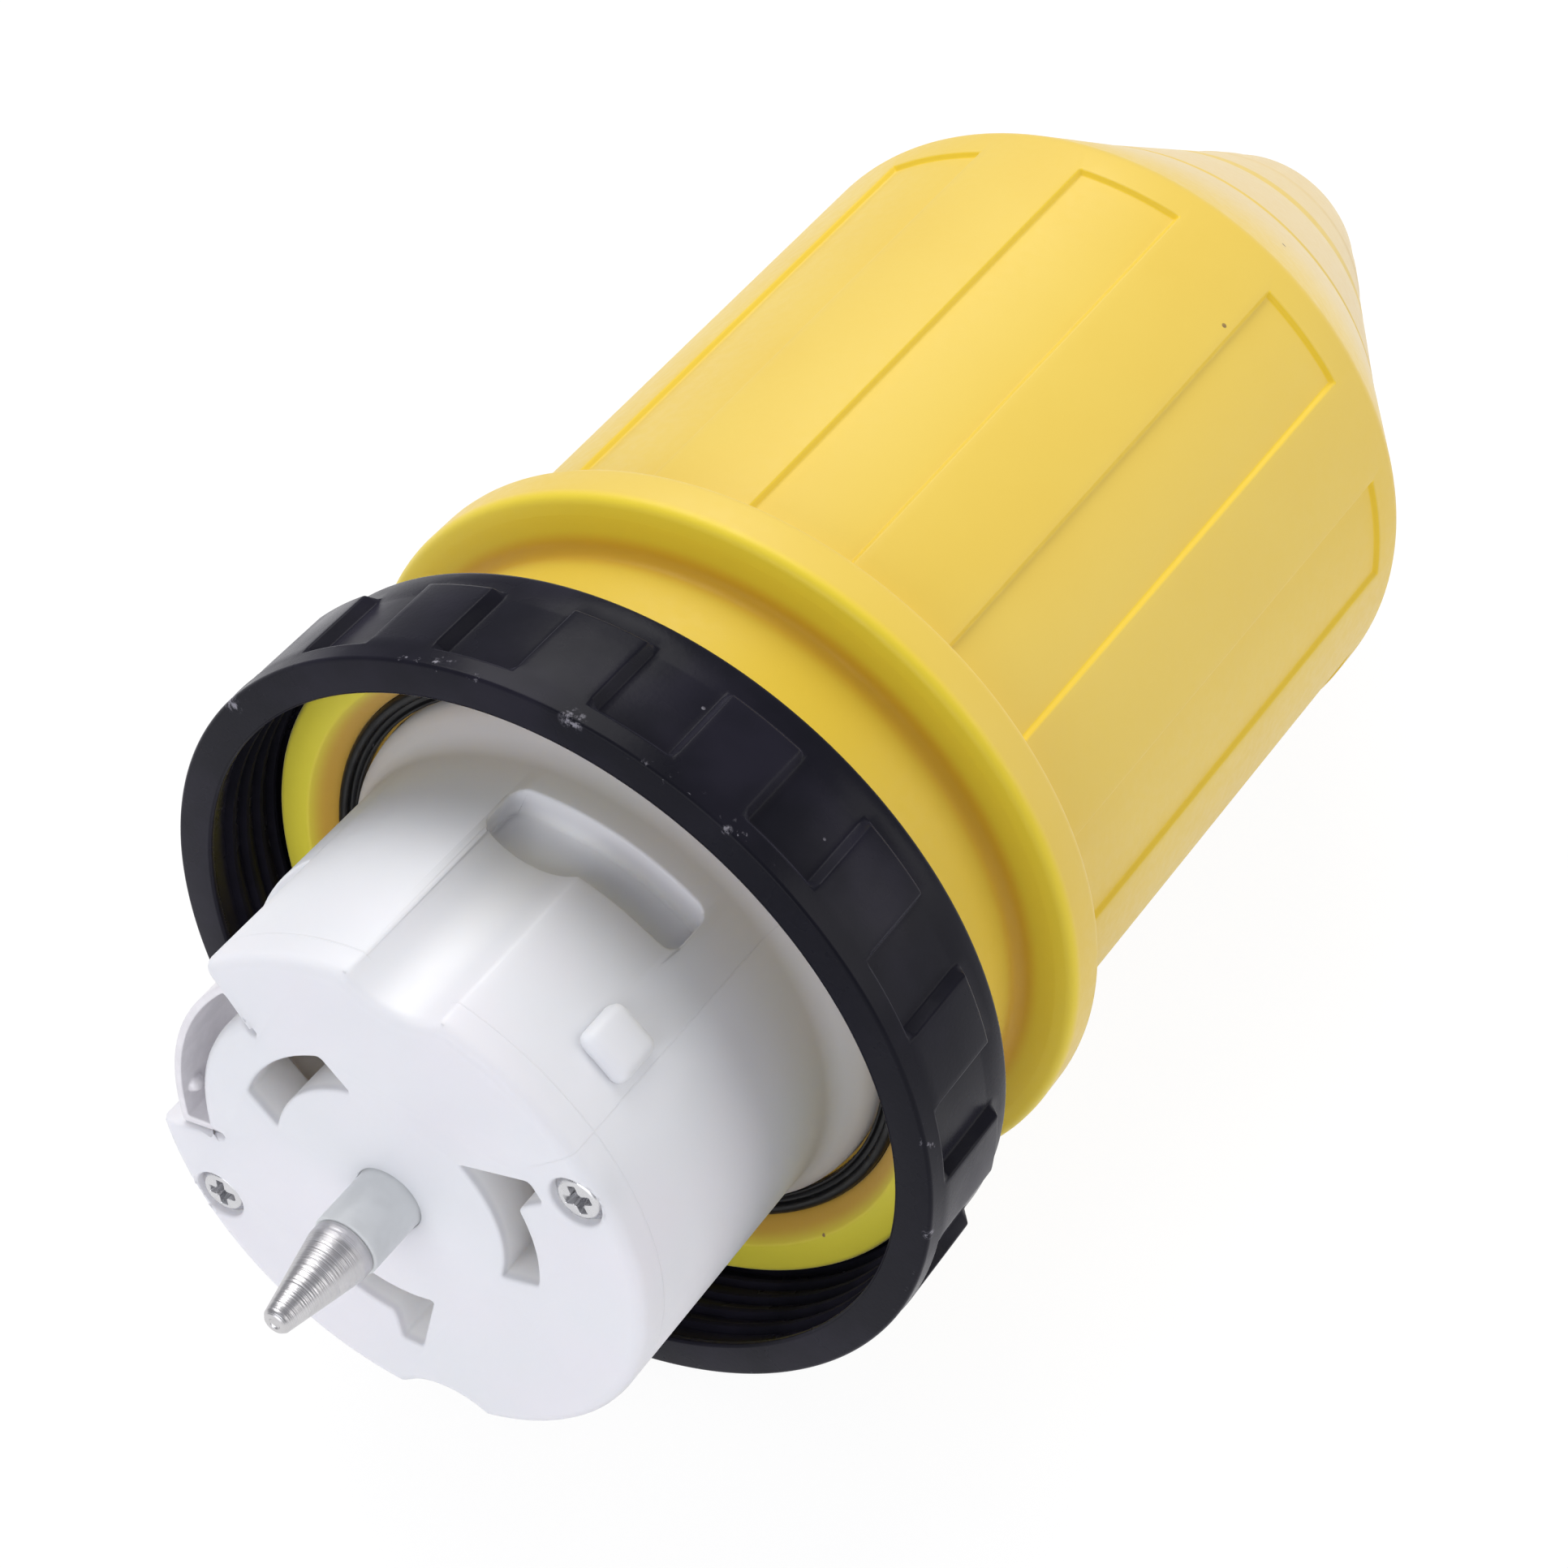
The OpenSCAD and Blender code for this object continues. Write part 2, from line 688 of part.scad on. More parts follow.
// Outer form of the boot: lip, neck, flange, body, shoulder and cone
module boot_form() {
    lip_back = lip_depth + lip_t;
    fillet = 1.8;
    edge = 1;
    rotate_extrude()
        polygon(concat(
            [[0, lip_depth]],
            arc(lip_r - 0.6, lip_depth + 0.6, 0.6, -90, 0, 4),
            [[lip_r, lip_back], [neck_r, lip_back]],
            arc(neck_r + fillet, flange_depth - 0.4 - fillet, fillet, 180, 90, 6),
            arc(flange_r - edge, flange_depth + edge, edge, -90, 0, 5),
            arc(flange_r - edge, flange_back - edge, edge, 0, 90, 5),
            [[body_r, flange_back], [body_r, body_start]],
            arc(shoulder_r - shoulder_round, shoulder_depth - shoulder_round, shoulder_round, 0, 60, 5),
            [[cone_r(shoulder_depth + 0.4), shoulder_depth + 0.4]],
            cut_ring(0.2), cut_ring(0.5), [[cone_r(tail_end - 8), tail_end - 8],
            [cone_r(tail_end - 8) + 0.5, tail_end - 7.4], [cone_r(tail_end - 4.6) + 0.5, tail_end - 4.6],
            [cone_r(tail_end - 4), tail_end - 4]],
            arc(tail_r - 1, tail_end - 1, 1, 30, 90, 4),
            [[0, tail_end]]));
}

// Shallow ring groove on the cone, at a share of its length, where it may be trimmed
function cut_ring(share) =
    let (d = shoulder_depth + cone_len * (share + 0.16), w = 0.4)
    [[cone_r(d - w), d - w], [cone_r(d) - 0.45, d], [cone_r(d + w), d + w]];

// Inside of the boot: gasket groove, tight bore, hollow body and cone
module boot_hollow() {
    inner_r = body_r - boot_wall;
    hollow_back = shoulder_depth - boot_wall;
    rotate_extrude()
        polygon([[0, lip_depth - over], [groove_out_r + 2.4 + over * 0.75, lip_depth - over],
                 [groove_out_r, gasket_front], [groove_out_r, gasket_back], [groove_r, gasket_back],
                 [groove_r, gasket_front + 0.8], [boot_bore_r, gasket_front + 0.8],
                 [boot_bore_r, hollow_start], [inner_r, hollow_start + boot_wall],
                 [inner_r, hollow_back], [cable_hole_r, tail_end - cable_hole_len],
                 [cable_hole_r, tail_end + over], [0, tail_end + over]]);
}

// Ring inside the boot that the rear housing's step rests on
module boot_rib() {
    tube(step_r + slip, body_r - boot_wall + over, step_start, step_start + rib_t);
}

// Shallow panels pressed into the body, open at the flange and closed at the shoulder
module panel_cuts() {
    pitch = 360 / panel_count;
    sweep = pitch * panel_share;
    back = shoulder_depth - panel_land;
    for (i = [0:panel_count - 1])
        rotate([0, 0, panel_angle + i * pitch - sweep / 2])
            rotate_extrude(angle = sweep)
                polygon([[boot_r(body_start) - panel_depth, body_start],
                         [boot_r(back) - panel_depth, back],
                         [shoulder_r + over, back], [shoulder_r + over, body_start]]);
}

module boot() {
    color(boot_yellow) along_axis() {
        difference() {
            boot_form();
            boot_hollow();
            panel_cuts();
        }
        boot_rib();
    }
}

/* ---------- Coupling ring ---------- */

// Ring before the hollows between its grips are cut: rim, bore, rear shoulder
module ring_form() {
    chamfer = 0.6;
    inner_r = neck_r + ring_gap;
    rotate_extrude()
        polygon([[ring_mouth_r, ring_front], [ring_rim_r - chamfer, ring_front],
                 [ring_rim_r, ring_front + chamfer], [ring_rim_r, ring_front + grip_start],
                 [grip_r, ring_front + grip_start + 0.4], [grip_r, ring_back - grip_end - 0.6],
                 [ring_base_r, ring_back - grip_end], [ring_base_r, ring_back - 0.5],
                 [ring_base_r - 0.5, ring_back], [inner_r + 0.5, ring_back],
                 [inner_r, ring_back - 0.5], [inner_r, ring_shoulder_front],
                 [ring_bore_r, ring_shoulder_front], [ring_bore_r, ring_front + 1.4],
                 [ring_mouth_r, ring_front + 0.6]]);
}

// Hollow between two grips, with a sloped front wall
module grip_gap(sweep) {
    floor_r = ring_base_r - 0.1;
    rotate_extrude(angle = sweep)
        polygon([[floor_r, ring_front + grip_start + 0.9], [grip_r + over, ring_front + grip_start - 0.2],
                 [grip_r + over, ring_back - grip_end + 0.2], [floor_r, ring_back - grip_end + 0.2]]);
}

module coupling_ring() {
    pitch = 360 / grip_count;
    color(ring_black) along_axis() difference() {
        ring_form();
        for (i = [0:grip_count - 1])
            rotate([0, 0, grip_angle + (i + grip_share / 2) * pitch]) grip_gap(pitch * (1 - grip_share));
    }
}

boot();
coupling_ring();
gasket();
nose();
rear_housing();
pilot_pin();
pin_sleeve();
ground_strip();
ground_terminal();
terminal_screw(ground_block_angle);  // ground_screw
contact(0);  // contact_a
contact(1);  // contact_b
contact(2);  // contact_c
pressure_plate(slot_angle);  // pressure_plate_a
pressure_plate(slot_angle + slot_pitch);  // pressure_plate_b
pressure_plate(slot_angle + 2 * slot_pitch);  // pressure_plate_c
terminal_screw(slot_angle);  // terminal_screw_a
terminal_screw(slot_angle + slot_pitch);  // terminal_screw_b
terminal_screw(slot_angle + 2 * slot_pitch);  // terminal_screw_c
face_screw(0);  // face_screw_right
face_screw(1);  // face_screw_left
clamp_half(1);  // clamp_upper
clamp_half(-1);  // clamp_lower
clamp_screw(1);  // clamp_screw_right
clamp_screw(-1);  // clamp_screw_left
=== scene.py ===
"""Dresses the locking power connector: boot, coupling ring, nose, pilot pin, ground strip and screws."""
from __future__ import annotations

import logging
import math
from dataclasses import dataclass, field
from enum import Enum
from typing import Callable, Sequence

import bpy
from mathutils import Matrix, Vector


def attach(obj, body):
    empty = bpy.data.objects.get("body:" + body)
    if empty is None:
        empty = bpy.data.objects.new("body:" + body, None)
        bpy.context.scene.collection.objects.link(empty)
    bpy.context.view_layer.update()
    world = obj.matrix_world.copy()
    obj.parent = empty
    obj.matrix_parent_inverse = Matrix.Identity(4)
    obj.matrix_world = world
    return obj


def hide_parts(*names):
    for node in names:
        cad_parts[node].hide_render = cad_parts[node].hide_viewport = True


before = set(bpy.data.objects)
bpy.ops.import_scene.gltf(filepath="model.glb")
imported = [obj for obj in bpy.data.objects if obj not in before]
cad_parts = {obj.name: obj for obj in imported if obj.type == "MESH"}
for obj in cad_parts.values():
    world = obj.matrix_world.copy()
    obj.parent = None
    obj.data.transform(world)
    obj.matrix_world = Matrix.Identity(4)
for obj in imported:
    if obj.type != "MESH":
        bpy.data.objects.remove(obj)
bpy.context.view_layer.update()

MM = 0.001
LOG = logging.getLogger("connector")

WELD, FINE_WELD, CAD_WELD = 1e-6, 1e-7, 2e-6  # reaches in metres
FLAT = math.radians(0.6)  # faces of a CAD copy that meet at less than this are joined
NEARLY_STRAIGHT = math.radians(88)  # half a corner's angle, past which it isn't rounded
SIDE_SHARE = 0.49  # the most of a side that one rounding takes
WHITE = (1, 1, 1, 1)

Piece = bpy.types.Object
Node = bpy.types.Node
Socket = bpy.types.NodeSocket
Material = bpy.types.Material
Colour = tuple[float, float, float]
Span = tuple[float, float]


class Body(Enum):
    """The two bodies that pieces ride on."""

    CONNECTOR = "connector"
    RING = "ring"


class Element(Enum):
    """What a selection in edit mode is made of."""

    VERTS = "VERT"
    FACES = "FACE"


class Grain(Enum):
    """How a metal surface was last worked."""

    TURNED = "turned"
    ROLLED = "rolled"
    PLATED = "plated"


# ---------------- geometry


@dataclass(frozen=True)
class Corner:
    """A corner of a turned profile, in millimetres.

    Args:
        r: distance from the axis.
        y: depth behind the mating face.
        round: radius that the corner is rounded with.
        steps: segments of that rounding.
    """

    r: float
    y: float
    round: float = 0.0
    steps: int = 4


def rounded(corners: Sequence[Corner], closed: bool = True) -> list[Span]:
    """Rounds the corners of a profile.

    Args:
        corners: the profile's corners in order.
        closed: whether the last corner joins the first.

    Returns:
        Points (r, y) along the rounded profile.
    """
    points: list[Span] = []
    count = len(corners)
    places = [Vector((corner.r, corner.y)) for corner in corners]
    for i, (corner, here) in enumerate(zip(corners, places)):
        if corner.round <= 0 or (not closed and i in (0, count - 1)):
            points.append((here.x, here.y))
            continue
        before, after = places[i - 1] - here, places[(i + 1) % count] - here
        u, v = before.normalized(), after.normalized()
        half = math.acos(max(-1.0, min(1.0, u.dot(v)))) / 2
        if half > NEARLY_STRAIGHT:
            points.append((here.x, here.y))
            continue
        reach = corner.round / math.tan(half)
        limit = SIDE_SHARE * min(before.length, after.length)
        radius = corner.round if reach <= limit else limit * math.tan(half)
        middle = here + (u + v).normalized() * radius / math.sin(half)
        start = here + u * radius / math.tan(half) - middle
        end = here + v * radius / math.tan(half) - middle
        turn = math.atan2(start.x * end.y - start.y * end.x, start.dot(end))
        for k in range(corner.steps + 1):
            a = turn * k / corner.steps
            points.append((middle.x + start.x * math.cos(a) - start.y * math.sin(a),
                           middle.y + start.x * math.sin(a) + start.y * math.cos(a)))
    return points


def polar(r: float, angle: float, y: float) -> Vector:
    """Gives the point at a radius, an angle from +X towards +Z, and a depth, from millimetres to metres."""
    a = math.radians(angle)
    return Vector((r * math.cos(a), y, r * math.sin(a))) * MM


def angle_of(point: Vector) -> float:
    """Gives a point's angle round the axis, from +X towards +Z, from 0 to 360 degrees."""
    return math.degrees(math.atan2(point.z, point.x)) % 360


def radius_of(point: Vector) -> float:
    """Gives a point's distance from the axis in millimetres."""
    return math.hypot(point.x, point.z) / MM


class Bench:
    """The modelling steps that every sub-assembly uses."""

    @staticmethod
    def edit() -> None:
        """Enters edit mode."""
        bpy.ops.object.mode_set(mode="EDIT")

    @staticmethod
    def leave() -> None:
        """Leaves edit mode."""
        if bpy.context.object is not None and bpy.context.object.mode != "OBJECT":
            bpy.ops.object.mode_set(mode="OBJECT")

    @staticmethod
    def activate(piece: Piece) -> None:
        """Selects one piece alone and makes it the active one."""
        Bench.leave()
        bpy.ops.object.select_all(action="DESELECT")
        piece.select_set(True)
        bpy.context.view_layer.objects.active = piece

    @staticmethod
    def begin(name: str) -> Piece:
        """Starts a piece from a primitive plane, open in edit mode with all of it selected."""
        bpy.ops.object.select_all(action="DESELECT")
        bpy.ops.mesh.primitive_plane_add(size=MM, location=(0, 0, 0))
        piece = bpy.context.object
        piece.name = piece.data.name = name
        Bench.edit()
        bpy.ops.mesh.select_mode(type="VERT")
        return piece

    @staticmethod
    def block(name: str, sides: Sequence[float]) -> Piece:
        """Makes a box round the origin, with its sides in millimetres."""
        bpy.ops.object.select_all(action="DESELECT")
        bpy.ops.mesh.primitive_cube_add(size=1, location=(0, 0, 0))
        piece = bpy.context.object
        piece.name = piece.data.name = name
        Bench.place(piece, Matrix.Diagonal((*(side * MM for side in sides), 1)))
        return piece

    @staticmethod
    def weld(reach: float) -> None:
        """Selects all of the mesh in edit mode and merges vertices within a reach in metres."""
        bpy.ops.mesh.select_all(action="SELECT")
        bpy.ops.mesh.remove_doubles(threshold=reach)

    @staticmethod
    def pick(piece: Piece, element: Element, test: Callable[[Vector], bool]) -> None:
        """Selects vertices or faces by their place.

        Args:
            piece: the piece, which is left in edit mode.
            element: what to select.
            test: says whether the element at that place, in metres, is selected.
        """
        Bench.edit()
        bpy.ops.mesh.select_mode(type=element.value)
        bpy.ops.mesh.select_all(action="DESELECT")
        Bench.leave()
        if element is Element.VERTS:
            for vertex in piece.data.vertices:
                vertex.select = test(vertex.co)
        else:
            for face in piece.data.polygons:
                face.select = test(face.center)
        Bench.edit()

    @staticmethod
    def trace(points: Sequence[Vector]) -> None:
        """Collapses the fresh primitive to its middle and extrudes that vertex along the points."""
        bpy.ops.mesh.merge(type="CENTER")
        bpy.ops.transform.translate(value=points[0])
        for here, there in zip(points, points[1:]):
            bpy.ops.mesh.extrude_region_move(TRANSFORM_OT_translate={"value": there - here})

    @staticmethod
    def turn(name: str, corners: Sequence[Corner], steps: int, start: float = 0.0, closed: bool = True) -> Piece:
        """Rounds a profile's corners and turns it all round the axis.

        Args:
            name: the piece's name.
            corners: the profile's corners in order.
            steps: segments round the axis.
            start: angle that the profile is drawn at, in degrees.
            closed: whether the profile's end joins its start.

        Returns:
            The turned piece, in object mode.
        """
        piece = Bench.begin(name)
        points = [polar(r, start, y) for r, y in rounded(corners, closed)]
        Bench.trace(points + points[:1] if closed else points)
        Bench.weld(WELD)
        bpy.ops.mesh.spin(steps=steps, angle=math.tau, center=(0, 0, 0), axis=(0, -1, 0))
        Bench.weld(WELD)
        bpy.ops.mesh.normals_make_consistent(inside=False)
        Bench.leave()
        return piece

    @staticmethod
    def copy_node(name: str, node: str) -> Piece:
        """Copies a CAD node's mesh, welds its loose triangles and clears the flat faces' inner edges.

        Args:
            name: the copy's name.
            node: the CAD node's name.

        Returns:
            The copy, in object mode.
        """
        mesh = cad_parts[node].data.copy()
        mesh.name = name
        mesh.materials.clear()
        piece = bpy.data.objects.new(name, mesh)
        bpy.context.scene.collection.objects.link(piece)
        Bench.activate(piece)
        if mesh.has_custom_normals:
            bpy.ops.mesh.customdata_custom_splitnormals_clear()
        Bench.edit()
        bpy.ops.mesh.select_mode(type="VERT")
        Bench.weld(CAD_WELD)
        bpy.ops.mesh.dissolve_limited(angle_limit=FLAT)
        Bench.leave()
        return piece

    @staticmethod
    def apply(piece: Piece, kind: str, **settings: object) -> None:
        """Adds a modifier with these settings and applies it."""
        Bench.activate(piece)
        modifier = piece.modifiers.new(kind.lower(), kind)
        for key, value in settings.items():
            setattr(modifier, key, value)
        bpy.ops.object.modifier_apply(modifier=modifier.name)

    @staticmethod
    def soften(piece: Piece, width: float, segments: int = 2, angle: float = 32.0) -> None:
        """Rounds the sharp edges of a piece.

        Args:
            piece: the piece.
            width: the rounding's width in millimetres.
            segments: segments across it.
            angle: edges sharper than this many degrees are rounded.
        """
        Bench.apply(piece, "BEVEL", width=width * MM, segments=segments, limit_method="ANGLE",
                    angle_limit=math.radians(angle), use_clamp_overlap=False, miter_outer="MITER_ARC")

    @staticmethod
    def combine(piece: Piece, tool: Piece, operation: str) -> None:
        """Joins a tool to a piece, or cuts the piece with it, and throws the tool away."""
        Bench.apply(piece, "BOOLEAN", object=tool, operation=operation, solver="EXACT")
        bpy.data.objects.remove(tool, do_unlink=True)

    @staticmethod
    def smooth(piece: Piece, angle: float = 35.0) -> None:
        """Shades a piece smooth, with sharp breaks only past an angle in degrees."""
        Bench.activate(piece)
        bpy.ops.object.shade_smooth_by_angle(angle=math.radians(angle))

    @staticmethod
    def place(piece: Piece, matrix: Matrix) -> None:
        """Moves a piece's mesh, so that its object stays at the origin."""
        piece.data.transform(matrix)
        piece.data.update()

    @staticmethod
    def clone(piece: Piece, name: str, matrix: Matrix) -> Piece:
        """Copies a piece with a mesh of its own, moved by a matrix."""
        Bench.activate(piece)
        bpy.ops.object.duplicate(linked=False)
        copy = bpy.context.object
        copy.name = copy.data.name = name
        Bench.place(copy, matrix)
        return copy

    @staticmethod
    def finish(piece: Piece, body: Body, slot: str, material: Material,
               nodes: Sequence[str] = ()) -> Piece:
        """Gives a piece its finish and body, and hides the CAD nodes that it stands for.

        Args:
            piece: the piece.
            body: what it rides on.
            slot: the record's material slot; not used.
            material: its finish.
            nodes: CAD nodes that it replaces.

        Returns:
            The same piece.
        """
        Bench.leave()
        piece.data.materials.clear()
        piece.data.materials.append(material)
        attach(piece, body.value)
        if nodes:
            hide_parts(*nodes)
        LOG.info("%s: %d faces, rides on %s", piece.name, len(piece.data.polygons), body.value)
        return piece


# ---------------- finishes


def fill(node: Node, values: dict[str, object]) -> Node:
    """Sets plain values on a node's inputs, with underscores for the spaces in their names."""
    for key, value in values.items():
        node.inputs[key.replace("_", " ")].default_value = value
    return node


class Graph:
    """A node tree under construction."""

    def __init__(self, owner: Material | bpy.types.World) -> None:
        """Starts with no nodes."""
        owner.use_nodes = True
        self.nodes, self.links = owner.node_tree.nodes, owner.node_tree.links
        self.nodes.clear()

    def add(self, kind: str, **values: object) -> Node:
        """Adds a shader node with plain values on its inputs."""
        return fill(self.nodes.new(f"ShaderNode{kind}"), values)

    def math(self, operation: str, a: Socket | float, b: Socket | float = 0.0) -> Socket:
        """Adds a math node on sockets or plain numbers."""
        node = self.add("Math")
        node.operation = operation
        for index, value in enumerate((a, b)):
            if isinstance(value, (int, float)):
                node.inputs[index].default_value = value
            else:
                self.links.new(value, node.inputs[index])
        return node.outputs[0]

    def show(self, output: str, amount: Socket, first: Node, second: Node) -> None:
        """Sends a mix of two shaders to an output node."""
        mix = self.add("MixShader")
        for index, source in enumerate((amount, first.outputs[0], second.outputs[0])):
            self.links.new(source, mix.inputs[index])
        self.links.new(mix.outputs[0], self.add(output).inputs["Surface"])


class Recipe(Graph):
    """A material under construction, with short calls for the nodes that finishes share."""

    def __init__(self, name: str) -> None:
        """Starts a material with one shader."""
        self.material = bpy.data.materials.new(name)
        super().__init__(self.material)
        self.shader = self.add("BsdfPrincipled")
        self.links.new(self.shader.outputs["BSDF"], self.add("OutputMaterial").inputs["Surface"])
        self.place = self.add("TexCoord").outputs["Object"]

    def set(self, **values: object) -> None:
        """Sets plain values on the shader."""
        fill(self.shader, values)

    def wire(self, socket: str, source: Socket) -> None:
        """Joins a value to one of the shader's sockets."""
        self.links.new(source, self.shader.inputs[socket])

    def stretched(self, scale: Sequence[float]) -> Socket:
        """Gives the place with each axis scaled."""
        node = self.add("Mapping", Scale=scale)
        self.links.new(self.place, node.inputs["Vector"])
        return node.outputs["Vector"]

    def noise(self, scale: float, detail: float = 3.0, rough: float = 0.55,
              place: Socket | None = None) -> Socket:
        """Adds a noise pattern; scale is in cycles per metre."""
        node = self.add("TexNoise", Scale=scale, Detail=detail, Roughness=rough)
        self.links.new(place or self.place, node.inputs["Vector"])
        return node.outputs["Fac"]

    def cells(self, scale: float) -> Socket:
        """Adds a pattern of the distance to scattered points."""
        node = self.add("TexVoronoi", Scale=scale)
        self.links.new(self.place, node.inputs["Vector"])
        return node.outputs["Distance"]

    def ramp(self, source: Socket, low: float, high: float, bottom: float = 0.0, top: float = 1.0) -> Socket:
        """Maps a range of one value smoothly to another range."""
        node = self.add("MapRange", From_Min=low, From_Max=high, To_Min=bottom, To_Max=top)
        node.interpolation_type = "SMOOTHSTEP"
        self.links.new(source, node.inputs["Value"])
        return node.outputs["Result"]

    def fade(self, source: Socket, span: Span) -> Socket:
        """Rises smoothly from 0 at the span's first place to 1 at its second, both in millimetres."""
        return self.ramp(source, span[0] * MM, span[1] * MM)

    def patches(self, scale: float, low: float, high: float, detail: float = 3.0, rough: float = 0.55) -> Socket:
        """Gives soft patches where a noise pattern is high."""
        return self.ramp(self.noise(scale, detail, rough), low, high)

    def times(self, a: Socket | float, b: Socket | float) -> Socket:
        """Multiplies two values."""
        return self.math("MULTIPLY", a, b)

    def apart(self, value: Socket, at: float) -> Socket:
        """Gives how far a value lies from a number."""
        return self.math("ABSOLUTE", self.math("SUBTRACT", value, at))

    def parts(self) -> tuple[Socket, Socket, Socket]:
        """Splits the place into x, y and z."""
        node = self.add("SeparateXYZ")
        self.links.new(self.place, node.inputs[0])
        return node.outputs[0], node.outputs[1], node.outputs[2]

    def tag(self, name: str) -> Socket:
        """Reads a number that the piece's faces carry."""
        node = self.add("Attribute")
        node.attribute_name = name
        return node.outputs["Fac"]

    def distance(self, point: Vector) -> Socket:
        """Gives the distance from a point in metres."""
        node = self.add("VectorMath")
        node.operation = "DISTANCE"
        self.links.new(self.place, node.inputs[0])
        node.inputs[1].default_value = point
        return node.outputs["Value"]

    def radius(self) -> Socket:
        """Gives the distance from the connector's axis in metres."""
        x, _, z = self.parts()
        return self.math("SQRT", self.math("ADD", self.times(x, x), self.times(z, z)))

    def tint(self, colour: Colour) -> Socket:
        """Gives a plain colour as a socket."""
        node = self.add("RGB")
        node.outputs[0].default_value = (*colour, 1.0)
        return node.outputs[0]

    def mix(self, amount: Socket, first: Socket, second: Socket | Colour) -> Socket:
        """Mixes two colours by an amount."""
        node = self.add("Mix")
        node.data_type = "RGBA"
        second = self.tint(second) if isinstance(second, tuple) else second
        for index, source in ((0, amount), (6, first), (7, second)):
            self.links.new(source, node.inputs[index])
        return node.outputs[2]

    def bump(self, height: Socket, strength: float, depth: float) -> None:
        """Adds a bump of a depth in metres."""
        node = self.add("Bump", Strength=strength, Distance=depth)
        self.links.new(height, node.inputs["Height"])
        self.wire("Normal", node.outputs[0])


@dataclass(frozen=True)
class BootVinyl:
    """Soft yellow vinyl with a fine matt skin and a few specks, with a painted pale sheen on the cone, painted shade in
    the panel walls, neck and fold, and painted light and shade on the flange face and lip.
    """

    colour: Colour = (0.83, 0.60, 0.090)
    deep: Colour = (0.82, 0.58, 0.080)
    # painted sheen: the pale cream stands in for the grazing reflection of the white surround on the cone
    pale: Colour = (0.80, 0.64, 0.38)
    # painted shade: a deeper, saturated yellow for the panel walls
    panel_wall_shade: Colour = (0.86, 0.60, 0.020)
    # painted shade: a deeper ochre for the neck
    neck: Colour = (0.82, 0.575, 0.040)
    # painted shade: an orange ochre for the fold at the flange's foot
    fold: Colour = (0.82, 0.47, 0.025)
    # painted light and shade: the flange's front face is made lighter and more saturated
    flange_light_shade: Colour = (0.88, 0.68, 0.040)
    # painted light on the lip, and painted shade (mouth) darkening towards its inner edge
    lip_painted_light: Colour = (0.80, 0.72, 0.045)
    mouth: Colour = (0.66, 0.37, 0.04)
    speck: Colour = (0.25, 0.14, 0.05)
    cone_sheen_y: Span = (132.5, 150.0)
    cone_sheen_share: float = 0.78
    grooves: tuple[Span, ...] = ((149.9, 0.9), (163.4, 1.6))
    neck_shade_front: Span = (37.2, 38.5)
    neck_shade_back: Span = (55.8, 53.5)
    fold_shade_front: Span = (51.2, 53.2)
    fold_shade_back: Span = (55.6, 54.4)
    fold_shade_r: Span = (38.0, 36.2)
    lip_y: Span = (38.5, 37.2)
    mouth_r: Span = (35.3, 33.6)

    def build(self) -> Material:
        """Makes the material."""
        r = Recipe("boot_vinyl")
        r.set(Specular_IOR_Level=0.3, Sheen_Weight=0.3, Sheen_Roughness=0.5, Sheen_Tint=(1.0, 0.93, 0.78, 1.0))
        _, y, _ = r.parts()
        reach = r.radius()
        base = r.mix(r.patches(38, 0.35, 0.68, 2.0), r.tint(self.deep), self.colour)
        # painted sheen: the cone's far part is mixed towards the pale cream
        base = r.mix(r.times(r.fade(y, self.cone_sheen_y), self.cone_sheen_share), base, self.pale)
        # the grooves keep the plain yellow, breaking the painted sheen
        for at, half in self.grooves:
            line = r.fade(r.apart(y, at * MM), (half, half * 0.5))
            base = r.mix(r.times(line, 0.75), base, self.colour)
        # painted shade on the panel walls
        base = r.mix(r.times(r.tag("panel_wall_shade"), 0.85), base, self.panel_wall_shade)
        # painted shade in the neck between the ring and the flange
        base = r.mix(r.times(r.fade(y, self.neck_shade_back), r.fade(y, self.neck_shade_front)), base, self.neck)
        # painted light and shade on the flange's front face, with painted shade in the fold towards the neck
        flange = r.mix(r.fade(reach, self.fold_shade_r), r.tint(self.flange_light_shade), self.fold)
        base = r.mix(r.times(r.fade(y, self.fold_shade_front), r.fade(y, self.fold_shade_back)), base, flange)
        # painted light on the lip, darkening with painted shade towards its inner edge
        lip = r.mix(r.fade(reach, self.mouth_r), r.tint(self.lip_painted_light), self.mouth)
        base = r.mix(r.times(r.fade(y, self.lip_y), 0.9), base, lip)
        specks = r.ramp(r.cells(130), 0.045, 0.03)
        r.wire("Base Color", r.mix(r.times(specks, r.patches(60, 0.56, 0.6)), base, self.speck))
        r.wire("Roughness", r.ramp(r.noise(900, 4.0), 0.3, 0.7, 0.40, 0.52))
        r.bump(r.math("ADD", r.noise(2600, 3.0), r.times(r.noise(160, 2.0), 1.6)), 0.22, 0.00004)
        return r.material


